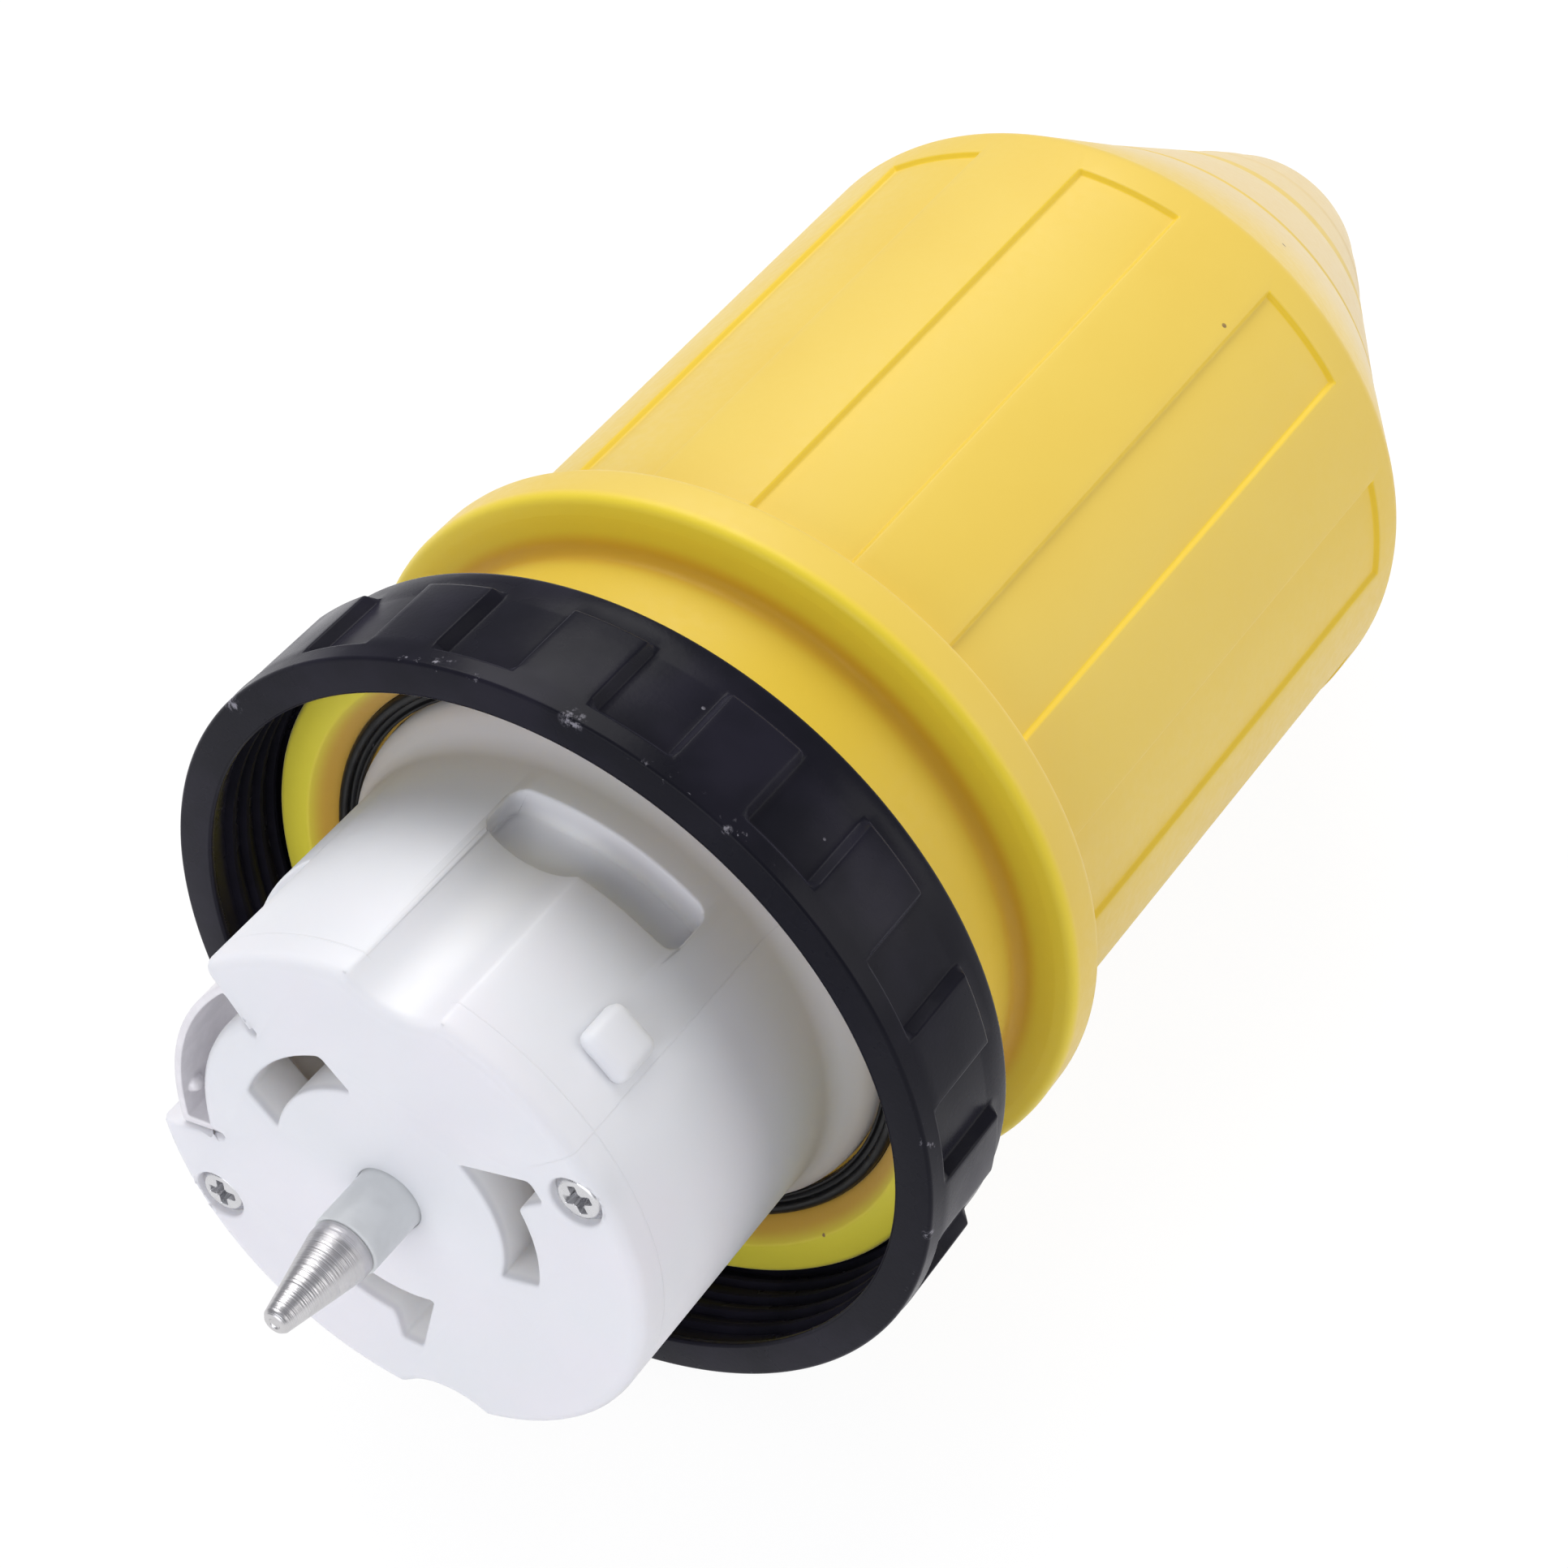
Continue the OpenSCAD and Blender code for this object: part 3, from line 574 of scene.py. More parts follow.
@dataclass(frozen=True)
class RingPlastic:
    """Black moulded plastic with a cool sheen, faint flow marks and pale scuffs on its front edge."""

    name: str = "ring_plastic"
    colour: Colour = (0.007, 0.007, 0.011)
    worn: Colour = (0.014, 0.013, 0.021)
    scuff: Colour = (0.30, 0.29, 0.33)
    shine: float = 0.07
    rough: Span = (0.22, 0.36)
    edge_r: float = 42.6
    edge_y: float = 24.9
    scuffs: tuple[Span, ...] = ((82.5, 1.5), (141.5, 1.6), (96.0, 0.5), (60.0, 0.6), (-4.0, 0.8))

    def build(self) -> Material:
        """Makes the material."""
        r = Recipe(self.name)
        r.set(Specular_IOR_Level=self.shine, Sheen_Weight=self.shine, Sheen_Roughness=0.45,
              Sheen_Tint=(0.74, 0.70, 1.0, 1.0))
        base = r.mix(r.patches(70, 0.4, 0.7), r.tint(self.colour), self.worn)
        _, y, _ = r.parts()
        edge = r.times(r.fade(r.radius(), (self.edge_r - 0.5, self.edge_r)),
                       r.fade(y, (self.edge_y + 1.2, self.edge_y)))
        nicks = r.times(r.patches(620, 0.60, 0.70, 5.0, 0.7), r.patches(46, 0.50, 0.62, 1.0))
        base = r.mix(r.times(edge, nicks), base, self.scuff)
        for angle, size in self.scuffs:
            away = r.distance(polar(self.edge_r + 0.2, angle, self.edge_y - 0.4))
            patch = r.times(r.fade(away, (size, size * 0.4)), r.patches(1300, 0.46, 0.62, 4.0, 0.7))
            base = r.mix(r.times(patch, 0.8), base, self.scuff)
        dust = r.ramp(r.cells(210), 0.05, 0.03)
        r.wire("Base Color", r.mix(r.times(dust, r.patches(75, 0.58, 0.62)), base, self.scuff))
        r.wire("Roughness", r.ramp(r.noise(90, 4.0), 0.3, 0.75, *self.rough))
        r.bump(r.math("ADD", r.times(r.noise(240, 2.0), 1.5), r.noise(2200, 2.0)), 0.18, 0.00005)
        return r.material


@dataclass(frozen=True)
class NoseNylon:
    """White nylon with a satin moulded skin and faint mould parting lines, and painted light in the recesses of its
    face that stands in for light through the translucent nylon.
    """

    colour: Colour = (0.80, 0.81, 0.84)
    warm: Colour = (0.82, 0.81, 0.85)
    # painted light: the near-white for the recesses of the face
    painted_recess_light: Colour = (0.95, 0.95, 0.96)
    recess_r: Span = (26.2, 24.4)
    recess_y: Span = (0.4, 1.2)
    parting_y: float = 3.5
    parting_angle: float = 40.8
    parting_from: Span = (20.0, 24.0)
    parting_edge: Span = (0.10, 0.02)
    side_r: Span = (26.8, 27.2)

    def build(self) -> Material:
        """Makes the material."""
        r = Recipe("nose_nylon")
        r.set(Specular_IOR_Level=0.35, Subsurface_Weight=0.3, Subsurface_Scale=0.003,
              Subsurface_Radius=(1.0, 0.9, 0.8))
        x, y, z = r.parts()
        reach = r.radius()
        base = r.mix(r.patches(45, 0.38, 0.65, 2.0), r.tint(self.colour), self.warm)
        # painted light: deeper than the face and inside its rim, the nylon is mixed towards near-white
        deep = r.times(r.fade(reach, self.recess_r), r.fade(y, self.recess_y))
        r.wire("Base Color", r.mix(deep, base, self.painted_recess_light))
        r.wire("Roughness", r.ramp(r.noise(700, 3.0), 0.3, 0.7, 0.36, 0.48))
        a = math.radians(self.parting_angle)
        across = r.math("SUBTRACT", r.times(z, math.cos(a)), r.times(x, math.sin(a)))
        along = r.math("ADD", r.times(x, math.cos(a)), r.times(z, math.sin(a)))
        line = r.times(r.fade(r.math("ABSOLUTE", across), self.parting_edge), r.fade(along, self.parting_from))
        ring = r.times(r.fade(r.apart(y, self.parting_y * MM), self.parting_edge), r.fade(reach, self.side_r))
        skin = r.math("ADD", r.times(r.noise(1800, 3.0), 0.05), r.math("MAXIMUM", line, ring))
        r.bump(skin, 0.5, 0.00008)
        return r.material


@dataclass(frozen=True)
class GasketRubber:
    """Black rubber, lightly polished, with dust specks."""

    colour: Colour = (0.008, 0.008, 0.009)
    dust: Colour = (0.16, 0.16, 0.17)

    def build(self) -> Material:
        """Makes the material."""
        r = Recipe("gasket_rubber")
        r.set(Specular_IOR_Level=0.25)
        specks = r.times(r.ramp(r.cells(420), 0.10, 0.06), r.patches(240, 0.55, 0.6))
        r.wire("Base Color", r.mix(specks, r.tint(self.colour), self.dust))
        r.wire("Roughness", r.ramp(r.noise(500, 3.0), 0.3, 0.7, 0.30, 0.45))
        r.bump(r.noise(1500, 3.0), 0.12, 0.00003)
        return r.material


@dataclass(frozen=True)
class SleevePlastic:
    """Frosted insulating sleeve."""

    colour: Colour = (0.70, 0.72, 0.73)

    def build(self) -> Material:
        """Makes the material."""
        r = Recipe("sleeve_plastic")
        r.set(Specular_IOR_Level=0.5, Subsurface_Weight=0.25, Subsurface_Scale=0.002,
              Subsurface_Radius=(1.0, 1.0, 1.0))
        light = tuple(c * 1.08 for c in self.colour)
        r.wire("Base Color", r.mix(r.patches(300, 0.35, 0.7, 2.0), r.tint(self.colour), light))
        r.wire("Roughness", r.ramp(r.noise(900, 3.0), 0.3, 0.7, 0.30, 0.45))
        r.bump(r.noise(2500, 2.0), 0.2, 0.00003)
        return r.material


@dataclass(frozen=True)
class Metal:
    """Metal with the marks of how it was last worked.

    Args:
        name: the material's name.
        colour: colour of the bare metal.
        grain: how it was worked.
        rough: lowest and highest roughness.
        bare: how much of the metal is bare, from 0 to 1.
    """

    name: str
    colour: Colour
    grain: Grain
    rough: Span = (0.18, 0.34)
    bare: float = 1.0

    def build(self) -> Material:
        """Makes the material."""
        r = Recipe(self.name)
        r.set(Metallic=self.bare)
        if self.grain is Grain.TURNED:
            marks = r.noise(1.0, 2.0, 0.7, r.stretched((90, 6200, 90)))
            waves = r.noise(1.0, 2.0, 0.6, r.stretched((60, 1900, 60)))
            height = r.math("ADD", marks, r.times(waves, 1.5))
            depth, strength = 0.00010, 0.6
        elif self.grain is Grain.ROLLED:
            height = r.noise(1.0, 3.0, 0.6, r.stretched((300, 4200, 300)))
            depth, strength = 0.00002, 0.2
        else:
            height = r.noise(1600, 4.0)
            depth, strength = 0.00005, 0.35
        dull = tuple(0.93 * c for c in self.colour)
        r.wire("Base Color", r.mix(r.patches(500, 0.35, 0.7), r.tint(dull), self.colour))
        r.wire("Roughness", r.ramp(height, 0.3, 0.7, *self.rough))
        r.bump(height, strength, depth)
        return r.material


def made(look: BootVinyl | RingPlastic | NoseNylon | GasketRubber | SleevePlastic | Metal) -> Material:
    """Gives a field that holds a look's material, made with the finishes."""
    return field(default_factory=look.build)


@dataclass
class Finishes:
    """Every finish of the connector, made once."""

    boot: Material = made(BootVinyl())
    ring: Material = made(RingPlastic())
    thread: Material = made(RingPlastic("ring_thread_plastic", shine=0.02, rough=(0.6, 0.7)))
    nylon: Material = made(NoseNylon())
    gasket: Material = made(GasketRubber())
    sleeve: Material = made(SleevePlastic())
    nickel: Material = made(Metal("turned_nickel", (0.62, 0.61, 0.62), Grain.TURNED, (0.16, 0.32)))
    strip: Material = made(Metal("strip_steel", (0.86, 0.84, 0.87), Grain.ROLLED, (0.42, 0.55), 0.2))
    steel: Material = made(Metal("plated_steel", (0.66, 0.66, 0.68), Grain.PLATED, (0.20, 0.36)))
    brass: Material = made(Metal("plain_brass", (0.76, 0.55, 0.25), Grain.ROLLED, (0.24, 0.40)))


# ---------------- sub-assemblies


@dataclass
class Boot:
    """The yellow weatherproof boot: lip, neck, flange, panelled body and coned cable end."""

    lip_r: float = 38.5
    lip_y: float = 34.4
    lip_t: float = 3.0
    neck_r: float = 35.5
    flange_r: float = 41.5
    flange_y: float = 53.9
    flange_t: float = 5.7
    body_r: float = 37.8
    shoulder_r: float = 38.8
    shoulder_y: float = 132.8
    cone_top_r: float = 38.2
    tail_r: float = 11.9
    tail_y: float = 179.2
    hole_r: float = 9.5
    wall: float = 4.0
    bore_r: float = 30.3
    gasket_out_r: float = 32.7
    gasket_in_r: float = 30.9
    gasket_y: float = 36.8
    gasket_t: float = 2.6
    rib_y: float = 80.0
    rib_r: float = 27.7
    panels: int = 10
    panel_angle: float = 9.4
    panel_depth: float = 0.6
    panel_land: float = 4.2
    panel_edge: float = 0.32
    edge: float = 0.18
    steps: int = 240

    def cone_r(self, y: float) -> float:
        """Gives the cone's radius at a depth."""
        share = (y - self.shoulder_y) / (self.tail_y - self.shoulder_y)
        return self.cone_top_r + (self.tail_r - self.cone_top_r) * share

    def groove(self, y: float, depth: float, half: float) -> list[Corner]:
        """Gives the corners of a shallow trimming groove round the cone."""
        places = ((y - half, 0), (y, depth), (y + half, 0))
        return [Corner(self.cone_r(at) - sunk, at, 0.15, 2) for at, sunk in places]

    def band(self) -> list[Corner]:
        """Gives the corners of the raised band near the cone's tip."""
        places = ((8, 0, 0.2, 2), (7.4, 0.15, 0.25, 3), (4.6, 0.15, 0.25, 3), (4, 0, 0.2, 2))
        return [Corner(self.cone_r(self.tail_y - back) + rise, self.tail_y - back, rounding, steps)
                for back, rise, rounding, steps in places]

    def profile(self) -> list[Corner]:
        """Gives the whole wall's profile, outside first and then back along the inside."""
        inner_r = self.body_r - self.wall
        back = self.flange_y + self.flange_t
        hollow = back + self.wall
        lip_back, rib_back = self.lip_y + self.lip_t, self.rib_y + 3
        seat, gasket_back = self.gasket_y + 0.8, self.gasket_y + self.gasket_t
        outside = [
            Corner(self.gasket_out_r + 2.2, self.lip_y, 0.5), Corner(self.lip_r, self.lip_y, 0.7),
            Corner(self.lip_r, lip_back, 0.5), Corner(self.neck_r, lip_back, 0.4),
            Corner(self.neck_r, self.flange_y - 0.3, 1.5, 8), Corner(self.flange_r - 2.0, self.flange_y - 0.05, 1.5, 4),
            Corner(self.flange_r, self.flange_y + 0.3, 1.2, 6), Corner(self.flange_r, back, 1.1, 5),
            Corner(self.body_r, back, 0.25, 2), Corner(self.body_r, back + 0.35),
            Corner(self.shoulder_r, self.shoulder_y, 2.2, 8),
            *self.groove(self.shoulder_y + 17.1, 0.25, 0.5), *self.groove(self.shoulder_y + 30.6, 0.3, 1.2),
            *self.band(),
            Corner(self.tail_r, self.tail_y, 1.0), Corner(self.hole_r, self.tail_y, 0.5),
        ]
        inside = [
            Corner(self.hole_r, self.tail_y - 4), Corner(inner_r, self.shoulder_y - self.wall, 3.0),
            Corner(inner_r, rib_back), Corner(self.rib_r, rib_back, 0.4), Corner(self.rib_r, self.rib_y, 0.4),
            Corner(inner_r, self.rib_y), Corner(inner_r, hollow + self.wall, 1.0),
            Corner(self.bore_r, hollow, 0.5), Corner(self.bore_r, seat, 0.15, 2),
            Corner(self.gasket_in_r, seat, 0.15, 2), Corner(self.gasket_in_r, gasket_back),
            Corner(self.gasket_out_r, gasket_back), Corner(self.gasket_out_r, self.gasket_y, 0.3, 3),
        ]
        return outside + inside

    def press_panels(self, piece: Piece) -> None:
        """Presses the shallow panels into the body."""
        pitch = 360 / self.panels
        half = pitch / 4
        flange_back = self.flange_y + self.flange_t
        front = (flange_back + 0.3) * MM
        back = (self.shoulder_y - self.panel_land) * MM

        def on_panel(centre: Vector) -> bool:
            """Says whether a face lies on a panel."""
            off = (angle_of(centre) - self.panel_angle + pitch / 2) % pitch - pitch / 2
            return abs(off) < half and front < centre.y < back and radius_of(centre) > self.body_r - 0.5

        Bench.edit()
        bpy.ops.mesh.select_all(action="SELECT")
        bpy.ops.mesh.bisect(plane_co=(0, back, 0), plane_no=(0, 1, 0))
        Bench.leave()
        Bench.pick(piece, Element.FACES, on_panel)
        bpy.ops.mesh.inset(thickness=self.panel_edge * MM, depth=-self.panel_depth * MM, use_even_offset=True)
        Bench.leave()
        # marks the panel walls, which the material gives painted shade
        panel_wall_shade = piece.data.attributes.new("panel_wall_shade", "FLOAT", "FACE")
        taper = (self.shoulder_r - self.body_r) / (self.shoulder_y - flange_back)
        for face in piece.data.polygons:
            level = self.body_r + taper * (face.center.y / MM - flange_back)
            sunk = level - radius_of(face.center)
            inside = front - 0.5 * MM < face.center.y < back + 0.5 * MM
            panel_wall_shade.data[face.index].value = float(inside and 0.1 < sunk < self.panel_depth - 0.1)

    def build(self, finishes: Finishes) -> None:
        """Models the boot and dresses it."""
        start = self.panel_angle - 90 / self.panels
        piece = Bench.turn("boot_shell", self.profile(), self.steps, start)
        self.press_panels(piece)
        Bench.soften(piece, self.edge, 3, 24)
        Bench.smooth(piece, 40)
        Bench.finish(piece, Body.CONNECTOR, "boot", finishes.boot, ["boot"])


@dataclass
class CouplingRing:
    """The black threaded ring that turns on the boot's neck."""

    front: float = 24.2
    back: float = 40.4
    rim_r: float = 43.0
    grip_r: float = 43.1
    base_r: float = 41.9
    mouth_r: float = 39.1
    bore_r: float = 39.9
    inner_r: float = 36.0
    shoulder_t: float = 2.7
    grips: int = 16
    grip_share: float = 11 / 24
    grip_angle: float = -2.4
    gap_depth: float = 0.1
    rim_t: float = 3.0
    same_row: float = 0.01
    steps: int = 384
    thread_pitch: float = 2.2
    thread_turns: float = 4.6
    thread_steps: int = 120
    thread_start: float = 2.2
    thread_angle: float = 100.0
    edge: float = 0.18

    def profile(self) -> list[Corner]:
        """Gives the ring's profile with full grips all round."""
        front, back, shoulder = self.front, self.back, self.back - self.shoulder_t
        return [
            Corner(self.mouth_r, front, 0.25, 3), Corner(self.rim_r, front, 0.4, 4),
            Corner(self.rim_r, front + 1.9), Corner(self.grip_r, front + 2.3),
            Corner(self.grip_r, front + 3.4), Corner(self.grip_r, front + 7.5),
            Corner(self.grip_r, back - 4.1), Corner(self.grip_r - 0.35, back - 3.75),
            Corner(self.base_r, back - 3.1), Corner(self.base_r, back - 1.6),
            Corner(self.base_r, back, 0.6, 4), Corner(self.inner_r, back, 0.5, 3),
            Corner(self.inner_r, shoulder, 0.2, 2), Corner(self.bore_r, shoulder, 0.2, 2),
            Corner(self.bore_r, front + 1.4), Corner(self.mouth_r, front + 0.6, 0.2, 2),
        ]

    def cut_gaps(self, piece: Piece) -> None:
        """Sinks the hollows between the grips, one ring of vertices at a time."""
        pitch = 360 / self.grips
        half = pitch * (1 - self.grip_share) / 2 - 180 / self.steps
        floor = self.base_r - self.gap_depth
        first, last = self.front + self.rim_t, self.back - self.rim_t
        rows = sorted({round(v.co.y / MM, 3) for v in piece.data.vertices
                       if radius_of(v.co) > self.base_r + 0.05 and first < v.co.y / MM < last})
        for y in rows:
            radius = max(radius_of(v.co) for v in piece.data.vertices if abs(v.co.y / MM - y) < self.same_row)

            def in_gap(place: Vector, y: float = y) -> bool:
                """Says whether a vertex lies in a hollow."""
                off = (angle_of(place) - self.grip_angle) % pitch - pitch / 2
                in_row = abs(place.y / MM - y) < self.same_row
                return abs(off) < half and in_row and radius_of(place) > self.base_r + 0.02

            Bench.pick(piece, Element.VERTS, in_gap)
            bpy.ops.transform.resize(value=(floor / radius, 1, floor / radius), center_override=(0, 0, 0))
        Bench.leave()

    def thread(self) -> Piece:
        """Winds the fine thread inside the bore."""
        start_y = self.front + self.thread_start
        root_r, crest_r = self.bore_r + 0.25, self.mouth_r + 0.15
        root, crest = self.thread_pitch * 0.4, self.thread_pitch * 0.11
        piece = Bench.begin("ring_thread")
        Bench.trace([polar(r, self.thread_angle, start_y + off) for r, off in (
            (root_r, -root), (crest_r, -crest), (crest_r, crest), (root_r, root), (root_r, -root))])
        Bench.weld(WELD)
        bpy.ops.mesh.edge_face_add()
        Bench.leave()
        count = int(self.thread_turns * self.thread_steps)
        turns = count / self.thread_steps
        Bench.apply(piece, "SCREW", axis="Y", angle=math.tau * turns, steps=count, render_steps=count,
                    screw_offset=self.thread_pitch * MM * turns, use_merge_vertices=False)
        Bench.edit()
        Bench.weld(FINE_WELD)
        bpy.ops.mesh.normals_make_consistent(inside=False)
        Bench.leave()
        Bench.smooth(piece, 50)
        return piece

    def build(self, finishes: Finishes) -> None:
        """Models the ring and its thread and dresses them."""
        start = self.grip_angle - 180 / self.steps
        piece = Bench.turn("ring_shell", self.profile(), self.steps, start)
        self.cut_gaps(piece)
        Bench.soften(piece, self.edge, 3, 26)
        Bench.smooth(piece, 40)
        Bench.finish(piece, Body.RING, "ring", finishes.ring, ["coupling_ring"])
        Bench.finish(self.thread(), Body.RING, "ring", finishes.thread)


@dataclass
class Nose:
    """The white insulating nose with its slots, flutes, lock pocket and key."""

    edge: float = 0.35
    nose_r: float = 27.6
    key_size: float = 5.7
    key_h: float = 1.5
    key_y: float = 11.0
    key_angle: float = 48.6
    key_round: float = 1.15
    ledge_y: float = 6.0
    ledge_r: float = 21.0

    def near_key(self, place: Vector, above: float) -> bool:
        """Says whether a place lies at the key, at least this far out of the nose in millimetres."""
        reach = self.key_size / 2 + 0.4
        return (abs(place.y / MM - self.key_y) < reach and radius_of(place) > self.nose_r + above
                and abs(math.radians(angle_of(place) - self.key_angle)) * self.nose_r < reach)

    def clear_key(self, piece: Piece) -> None:
        """Takes the plain key off the nose, so that a moulded one can stand there."""
        Bench.pick(piece, Element.FACES, lambda place: self.near_key(place, 0.05))
        bpy.ops.mesh.delete(type="FACE")
        Bench.pick(piece, Element.VERTS, lambda place: self.near_key(place, -0.1))
        bpy.ops.mesh.fill_holes(sides=0)
        Bench.leave()

    def split_ledges(self, piece: Piece) -> None:
        """Splits the ledges behind the slots, because rounding can fold a long face over its slot."""

        def on_ledge(centre: Vector) -> bool:
            """Says whether a face lies on a ledge."""
            return abs(centre.y / MM - self.ledge_y) < 0.05 and radius_of(centre) < self.ledge_r

        Bench.pick(piece, Element.FACES, on_ledge)
        bpy.ops.mesh.quads_convert_to_tris(ngon_method="BEAUTY")
        Bench.leave()

    def key(self) -> Piece:
        """Models the key as a rounded block that stands half in the nose."""
        piece = Bench.block("nose_key", (2 * self.key_h, self.key_size, self.key_size))
        Bench.soften(piece, self.key_round, 5, 60)
        Bench.smooth(piece, 60)
        turn = Matrix.Rotation(-math.radians(self.key_angle), 4, "Y")
        Bench.place(piece, turn @ Matrix.Translation((self.nose_r * MM, self.key_y * MM, 0)))
        return piece

    def build(self, finishes: Finishes) -> None:
        """Softens the nose's edges and dresses it."""
        Bench.finish(self.key(), Body.CONNECTOR, "nylon", finishes.nylon)
        piece = Bench.copy_node("nose_body", "nose")
        self.clear_key(piece)
        self.split_ledges(piece)
        Bench.soften(piece, self.edge, 3, 34)
        Bench.smooth(piece, 34)
        Bench.finish(piece, Body.CONNECTOR, "nylon", finishes.nylon, ["nose"])


@dataclass
class PilotPin:
    """The turned pilot pin and its frosted sleeve."""

    sleeve_r: float = 3.45
    sleeve_out: float = 6.6
    shank_r: float = 1.9
    seat_r: float = 4.25
    seat_y: float = 10.0
    tip_y: float = -17.0
    tip_r: float = 1.4
    base_r: float = 3.2
    head_y: float = 48.0

    def build(self, finishes: Finishes) -> None:
        """Models the pin and its sleeve and dresses them."""
        tip, front, head = self.tip_y, -self.sleeve_out, self.head_y
        sleeve = Bench.turn("pin_sleeve_body", [
            Corner(self.shank_r, front), Corner(self.sleeve_r, front, 0.25, 3),
            Corner(self.sleeve_r, 0), Corner(self.seat_r, 2.0), Corner(self.seat_r, self.seat_y),
            Corner(self.shank_r, self.seat_y)], 72)
        Bench.smooth(sleeve, 35)
        Bench.finish(sleeve, Body.CONNECTOR, "sleeve", finishes.sleeve, ["pin_sleeve"])
        pin = Bench.turn("pilot_pin_body", [
            Corner(0, tip + 0.18), Corner(0.5, tip + 0.15, 0.1, 2), Corner(0.62, tip),
            Corner(self.tip_r - 0.3, tip, 0.15, 3), Corner(self.tip_r, tip + 0.35, 0.2, 3),
            Corner(self.base_r, front - 1.3, 0.8, 5), Corner(self.base_r, front, 0.15, 2),
            Corner(self.shank_r, front), Corner(self.shank_r, head), Corner(self.seat_r, head),
            Corner(self.seat_r, head + 1.5, 0.3), Corner(0, head + 1.5)], 96, closed=False)
        Bench.smooth(pin, 40)
        Bench.finish(pin, Body.CONNECTOR, "nickel", finishes.nickel, ["pilot_pin"])


@dataclass
class FaceScrew:
    """A long assembly screw with a flat head and a cross recess."""

    circle_r: float = 24.2
    angle: float = 30.0
    head_r: float = 2.64
    head_y: float = 0.3
    head_t: float = 2.5
    shank_r: float = 1.6
    end_y: float = 60.0
    edge: float = 0.09
    blade: tuple[float, float, float] = (4.0, 2.8, 0.92)
    blade_taper: tuple[float, float, float] = (0.5, 1, 0.85)

    def recess(self) -> Piece:
        """Makes the tool that cuts the cross recess: two crossed blades and a taper at their middle."""
        blades = []
        for angle in (45, 135):
            blade = Bench.block("recess_blade", self.blade)
            Bench.pick(blade, Element.VERTS, lambda place: place.y > 0)
            bpy.ops.transform.resize(value=self.blade_taper, center_override=(0, 0, 0))
            Bench.leave()
            Bench.place(blade, Matrix.Rotation(math.radians(angle), 4, "Y"))
            blades.append(blade)
        tool, second = blades
        Bench.combine(tool, second, "UNION")
        core = [Corner(0, -1.3), Corner(1.05, -1.3), Corner(0.62, 1.3), Corner(0, 1.3)]
        Bench.combine(tool, Bench.turn("recess_core", core, 4, closed=False), "UNION")
        return tool

    def build(self, finishes: Finishes) -> None:
        """Models one screw on the axis, copies it to both places and dresses them."""
        top, under = self.head_y, self.head_y + self.head_t
        screw = Bench.turn("face_screw", [
            Corner(0, top + 0.02), Corner(self.head_r - 0.55, top + 0.1, 0.5, 4),
            Corner(self.head_r, top + 0.75, 0.3, 4), Corner(self.head_r, under, 0.1, 2),
            Corner(self.shank_r, under), Corner(self.shank_r, self.end_y, 0.3, 2),
            Corner(0, self.end_y)], 64, closed=False)
        tool = self.recess()
        Bench.place(tool, Matrix.Translation((0, (top + 0.2) * MM, 0)))
        Bench.combine(screw, tool, "DIFFERENCE")
        Bench.soften(screw, self.edge, 3, 40)
        Bench.smooth(screw, 35)
        for name, turn in (("right", 0), ("left", 180)):
            twist = Matrix.Rotation(math.radians(20 + turn / 9), 4, "Y")
            place = Matrix.Translation(polar(self.circle_r, self.angle + turn, 0))
            copy = Bench.clone(screw, f"screw_{name}", place @ twist)
            Bench.finish(copy, Body.CONNECTOR, "steel", finishes.steel, [f"face_screw_{name}"])
        bpy.data.objects.remove(screw, do_unlink=True)


@dataclass
class Gasket:
    """The black gasket in the boot's mouth: a rounded ridge outside and a thin lip at the collar."""

    out_r: float = 32.65
    in_r: float = 30.5
    back_y: float = 39.3
    front_y: float = 36.2

    def build(self, finishes: Finishes) -> None:
        """Turns the gasket and dresses it."""
        y, out, hole, base = self.front_y, self.out_r, self.in_r, self.in_r + 0.45
        piece = Bench.turn("gasket_ring", [
            Corner(out, self.back_y), Corner(out, y, 0.5, 5), Corner(out - 1.05, y, 0.5, 5),
            Corner(out - 1.15, y + 0.75, 0.2, 3), Corner(base, y + 0.7, 0.2, 3),
            Corner(hole + 0.3, y + 0.4, 0.12, 3), Corner(hole, y + 0.4, 0.12, 3),
            Corner(hole, y + 1.3, 0.1, 2), Corner(base, y + 1.35), Corner(base, self.back_y)], 192)
        Bench.smooth(piece, 50)
        Bench.finish(piece, Body.CONNECTOR, "gasket", finishes.gasket, ["gasket"])


@dataclass
class SmallParts:
    """CAD pieces whose shape is right: the strip gets a softened copy and the others a finish."""

    strip_edge: float = 0.18
    dressed: dict[str, tuple[str, ...]] = field(default_factory=lambda: {
        "nylon": ("rear_housing", "clamp_upper", "clamp_lower"),
        "brass": tuple(f"contact_{k}" for k in "abc"),
        "steel": ("ground_terminal", "ground_screw", "clamp_screw_right", "clamp_screw_left",
                  *(f"{kind}_{k}" for kind in ("pressure_plate", "terminal_screw") for k in "abc"))})

    def build(self, finishes: Finishes) -> None:
        """Dresses the small parts."""
        piece = Bench.copy_node("ground_strip_body", "ground_strip")
        Bench.soften(piece, self.strip_edge, 3, 34)
        Bench.smooth(piece, 34)
        Bench.finish(piece, Body.CONNECTOR, "steel", finishes.strip, ["ground_strip"])
        for finish, nodes in self.dressed.items():
            for node in nodes:
                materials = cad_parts[node].data.materials
                materials.clear()
                materials.append(getattr(finishes, finish))
                LOG.info("%s: dressed in %s", node, finish)


# ---------------- studio


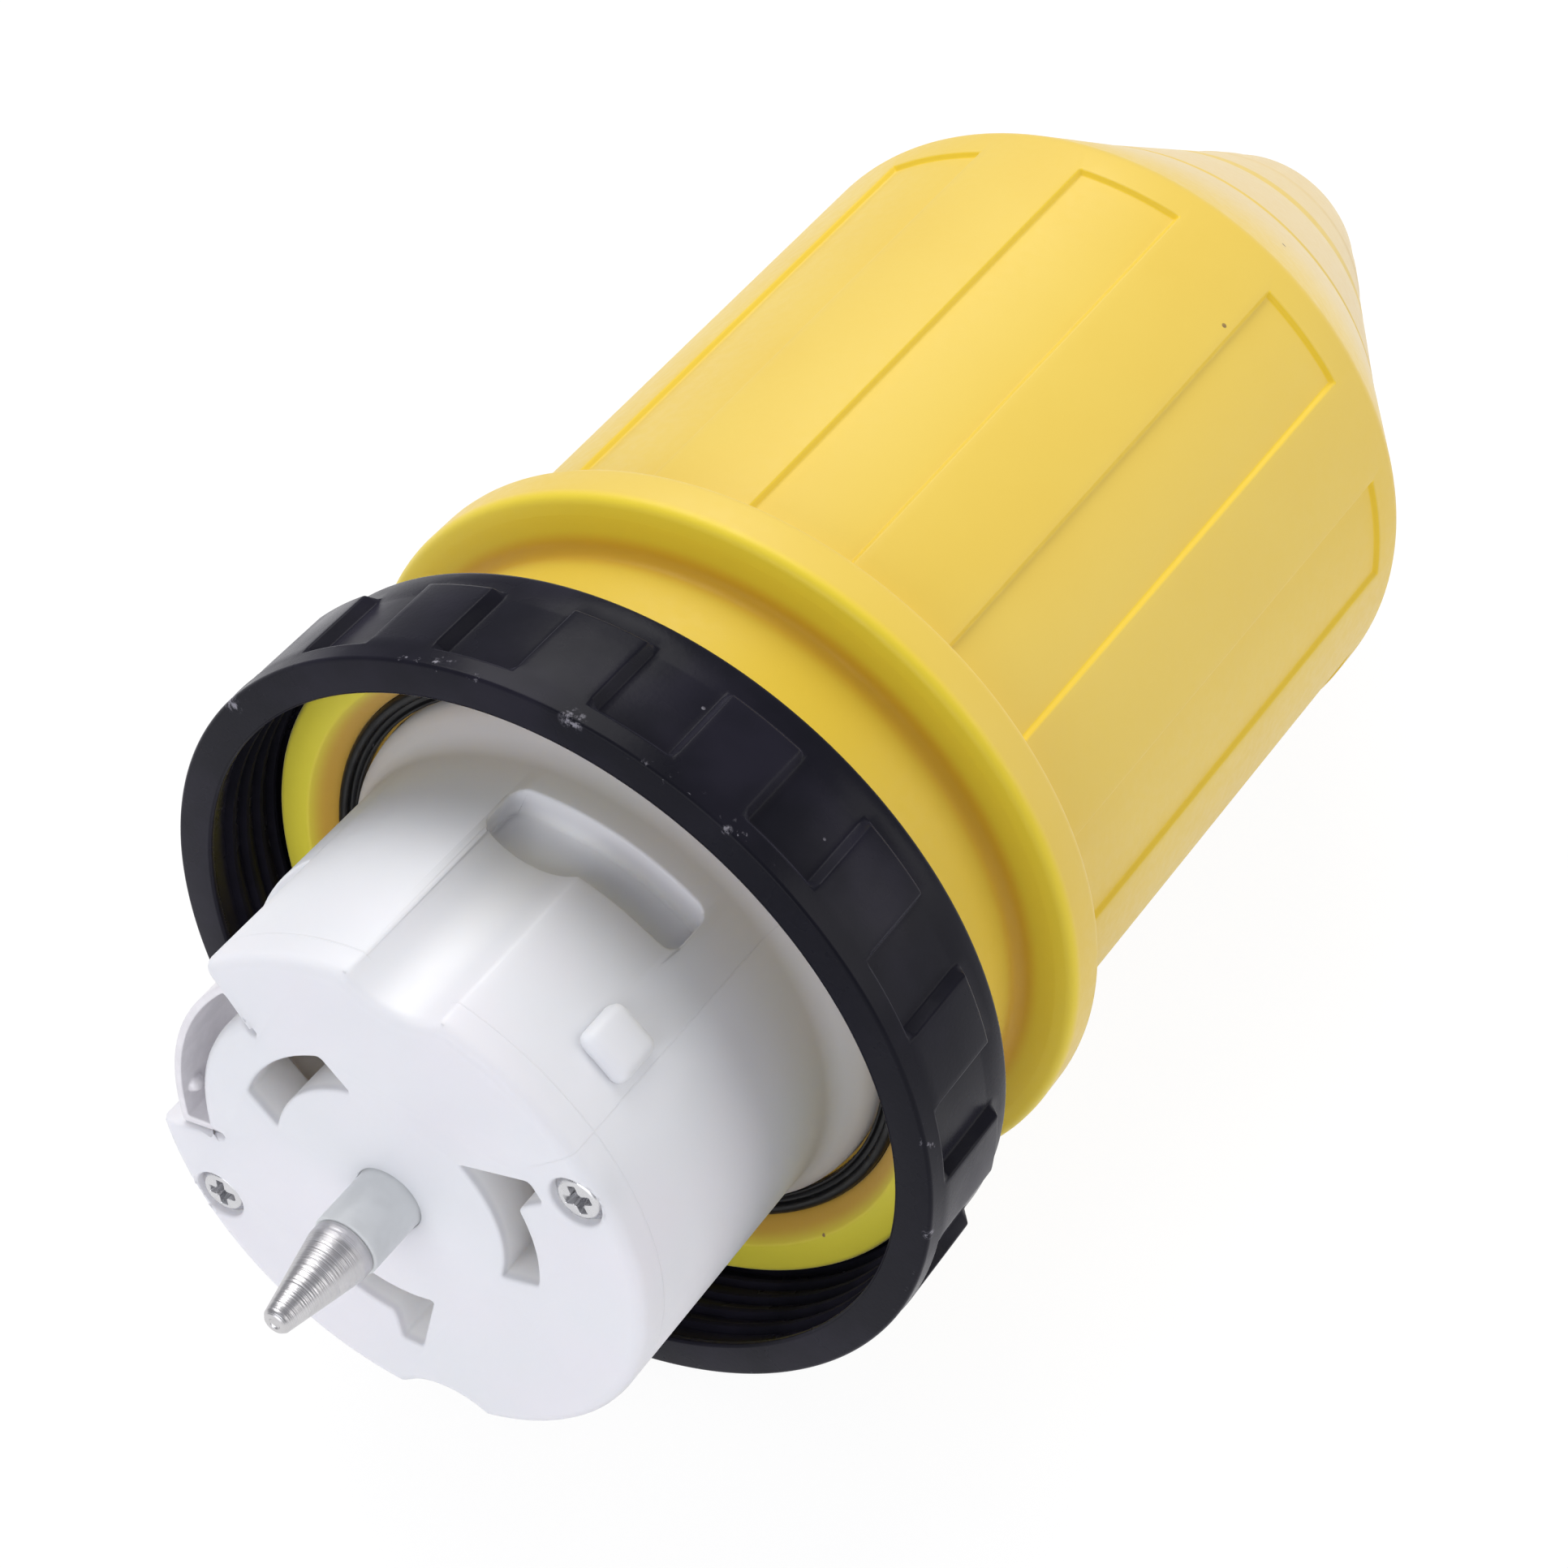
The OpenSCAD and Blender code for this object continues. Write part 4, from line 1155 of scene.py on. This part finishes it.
@dataclass
class Studio:
    """The pale floor, soft lights and camera."""

    eye: Vector = field(default_factory=lambda: Vector((0.1473, -0.1705, 0.2561)))
    forward: Vector = field(default_factory=lambda: Vector((-0.3859, 0.6263, -0.6773)))
    lens: float = 85.14
    sensor: float = 36.0
    aim: Vector = field(default_factory=lambda: Vector((0, 0.07, 0)))
    floor_size: float = 6.0
    ring_r: float = 43.1
    ring_y: float = 36.6
    shoulder_r: float = 38.8
    shoulder_y: float = 132.8
    gap: float = 0.3
    glow: float = 1.06
    glow_share: float = 0.88
    fill: float = 0.34

    def camera(self) -> None:
        """Places the camera."""
        data = bpy.data.cameras.new("camera")
        data.lens, data.sensor_width, data.sensor_fit = self.lens, self.sensor, "HORIZONTAL"
        data.clip_start, data.clip_end = 0.01, 20
        camera = bpy.data.objects.new("camera", data)
        bpy.context.scene.collection.objects.link(camera)
        camera.location = self.eye
        camera.rotation_mode = "QUATERNION"
        camera.rotation_quaternion = self.forward.to_track_quat("-Z", "Y")
        bpy.context.scene.camera = camera

    def floor(self) -> None:
        """Lays the floor under the ring and the boot's shoulder."""
        bpy.ops.object.select_all(action="DESELECT")
        bpy.ops.mesh.primitive_plane_add(size=self.floor_size, location=(0, 0, 0))
        floor = bpy.context.object
        floor.name = "floor"
        slope = math.atan2(self.ring_r - self.shoulder_r, self.shoulder_y - self.ring_y)
        foot = Vector((0, self.ring_y, -self.ring_r - self.gap)) * MM
        Bench.place(floor, Matrix.Translation(foot) @ Matrix.Rotation(slope, 4, "X"))
        material = bpy.data.materials.new("floor_paper")
        graph = Graph(material)
        path = graph.add("LightPath")
        seen = graph.math("MAXIMUM", path.outputs["Is Camera Ray"], path.outputs["Is Glossy Ray"])
        paper = graph.add("BsdfDiffuse", Color=(0.82, 0.82, 0.84, 1))
        glow = graph.add("Emission", Color=WHITE, Strength=self.glow)
        graph.show("OutputMaterial", graph.math("MULTIPLY", seen, self.glow_share), paper, glow)
        floor.data.materials.append(material)

    def world(self) -> None:
        """Makes the room: a soft white surround that also fills the background."""
        world = bpy.data.worlds.new("room")
        bpy.context.scene.world = world
        graph = Graph(world)
        fill = graph.add("Background", Color=(0.93, 0.94, 1.0, 1), Strength=self.fill)
        back = graph.add("Background", Color=WHITE, Strength=1.0)
        graph.show("OutputWorld", graph.add("LightPath").outputs["Is Camera Ray"], fill, back)

    def lamp(self, name: str, place: Vector, size: float, power: float, colour: Colour) -> None:
        """Hangs a square soft light aimed at the connector.

        Args:
            name: the light's name.
            place: where it hangs, in metres.
            size: its side in metres.
            power: its power in watts.
            colour: its colour.
        """
        data = bpy.data.lights.new(name, "AREA")
        data.shape, data.size, data.energy, data.color = "SQUARE", size, power, colour
        light = bpy.data.objects.new(name, data)
        bpy.context.scene.collection.objects.link(light)
        light.location = place
        light.rotation_mode = "QUATERNION"
        light.rotation_quaternion = (self.aim - place).to_track_quat("-Z", "Y")

    def build(self) -> None:
        """Sets up the whole studio."""
        bpy.context.scene.view_settings.view_transform = "Standard"
        self.camera()
        self.floor()
        self.world()
        self.lamp("key", Vector((-0.36, 0.36, 0.80)), 0.7, 6.9, (1.0, 0.99, 0.98))
        self.lamp("front_fill", Vector((0.02, -0.95, 0.30)), 0.8, 5.3, (0.96, 0.97, 1.0))
        self.lamp("side_fill", Vector((0.80, 0.45, 0.35)), 0.6, 2.9, (1.0, 0.98, 0.96))


def main() -> None:
    """Builds the studio and then every sub-assembly in order."""
    logging.basicConfig(level=logging.INFO, format="%(name)s: %(message)s")
    Studio().build()
    finishes = Finishes()
    for part in (Boot(), CouplingRing(), Nose(), Gasket(), PilotPin(), FaceScrew(), SmallParts()):
        LOG.info("building %s", type(part).__name__)
        part.build(finishes)


if __name__ == "__main__":
    main()
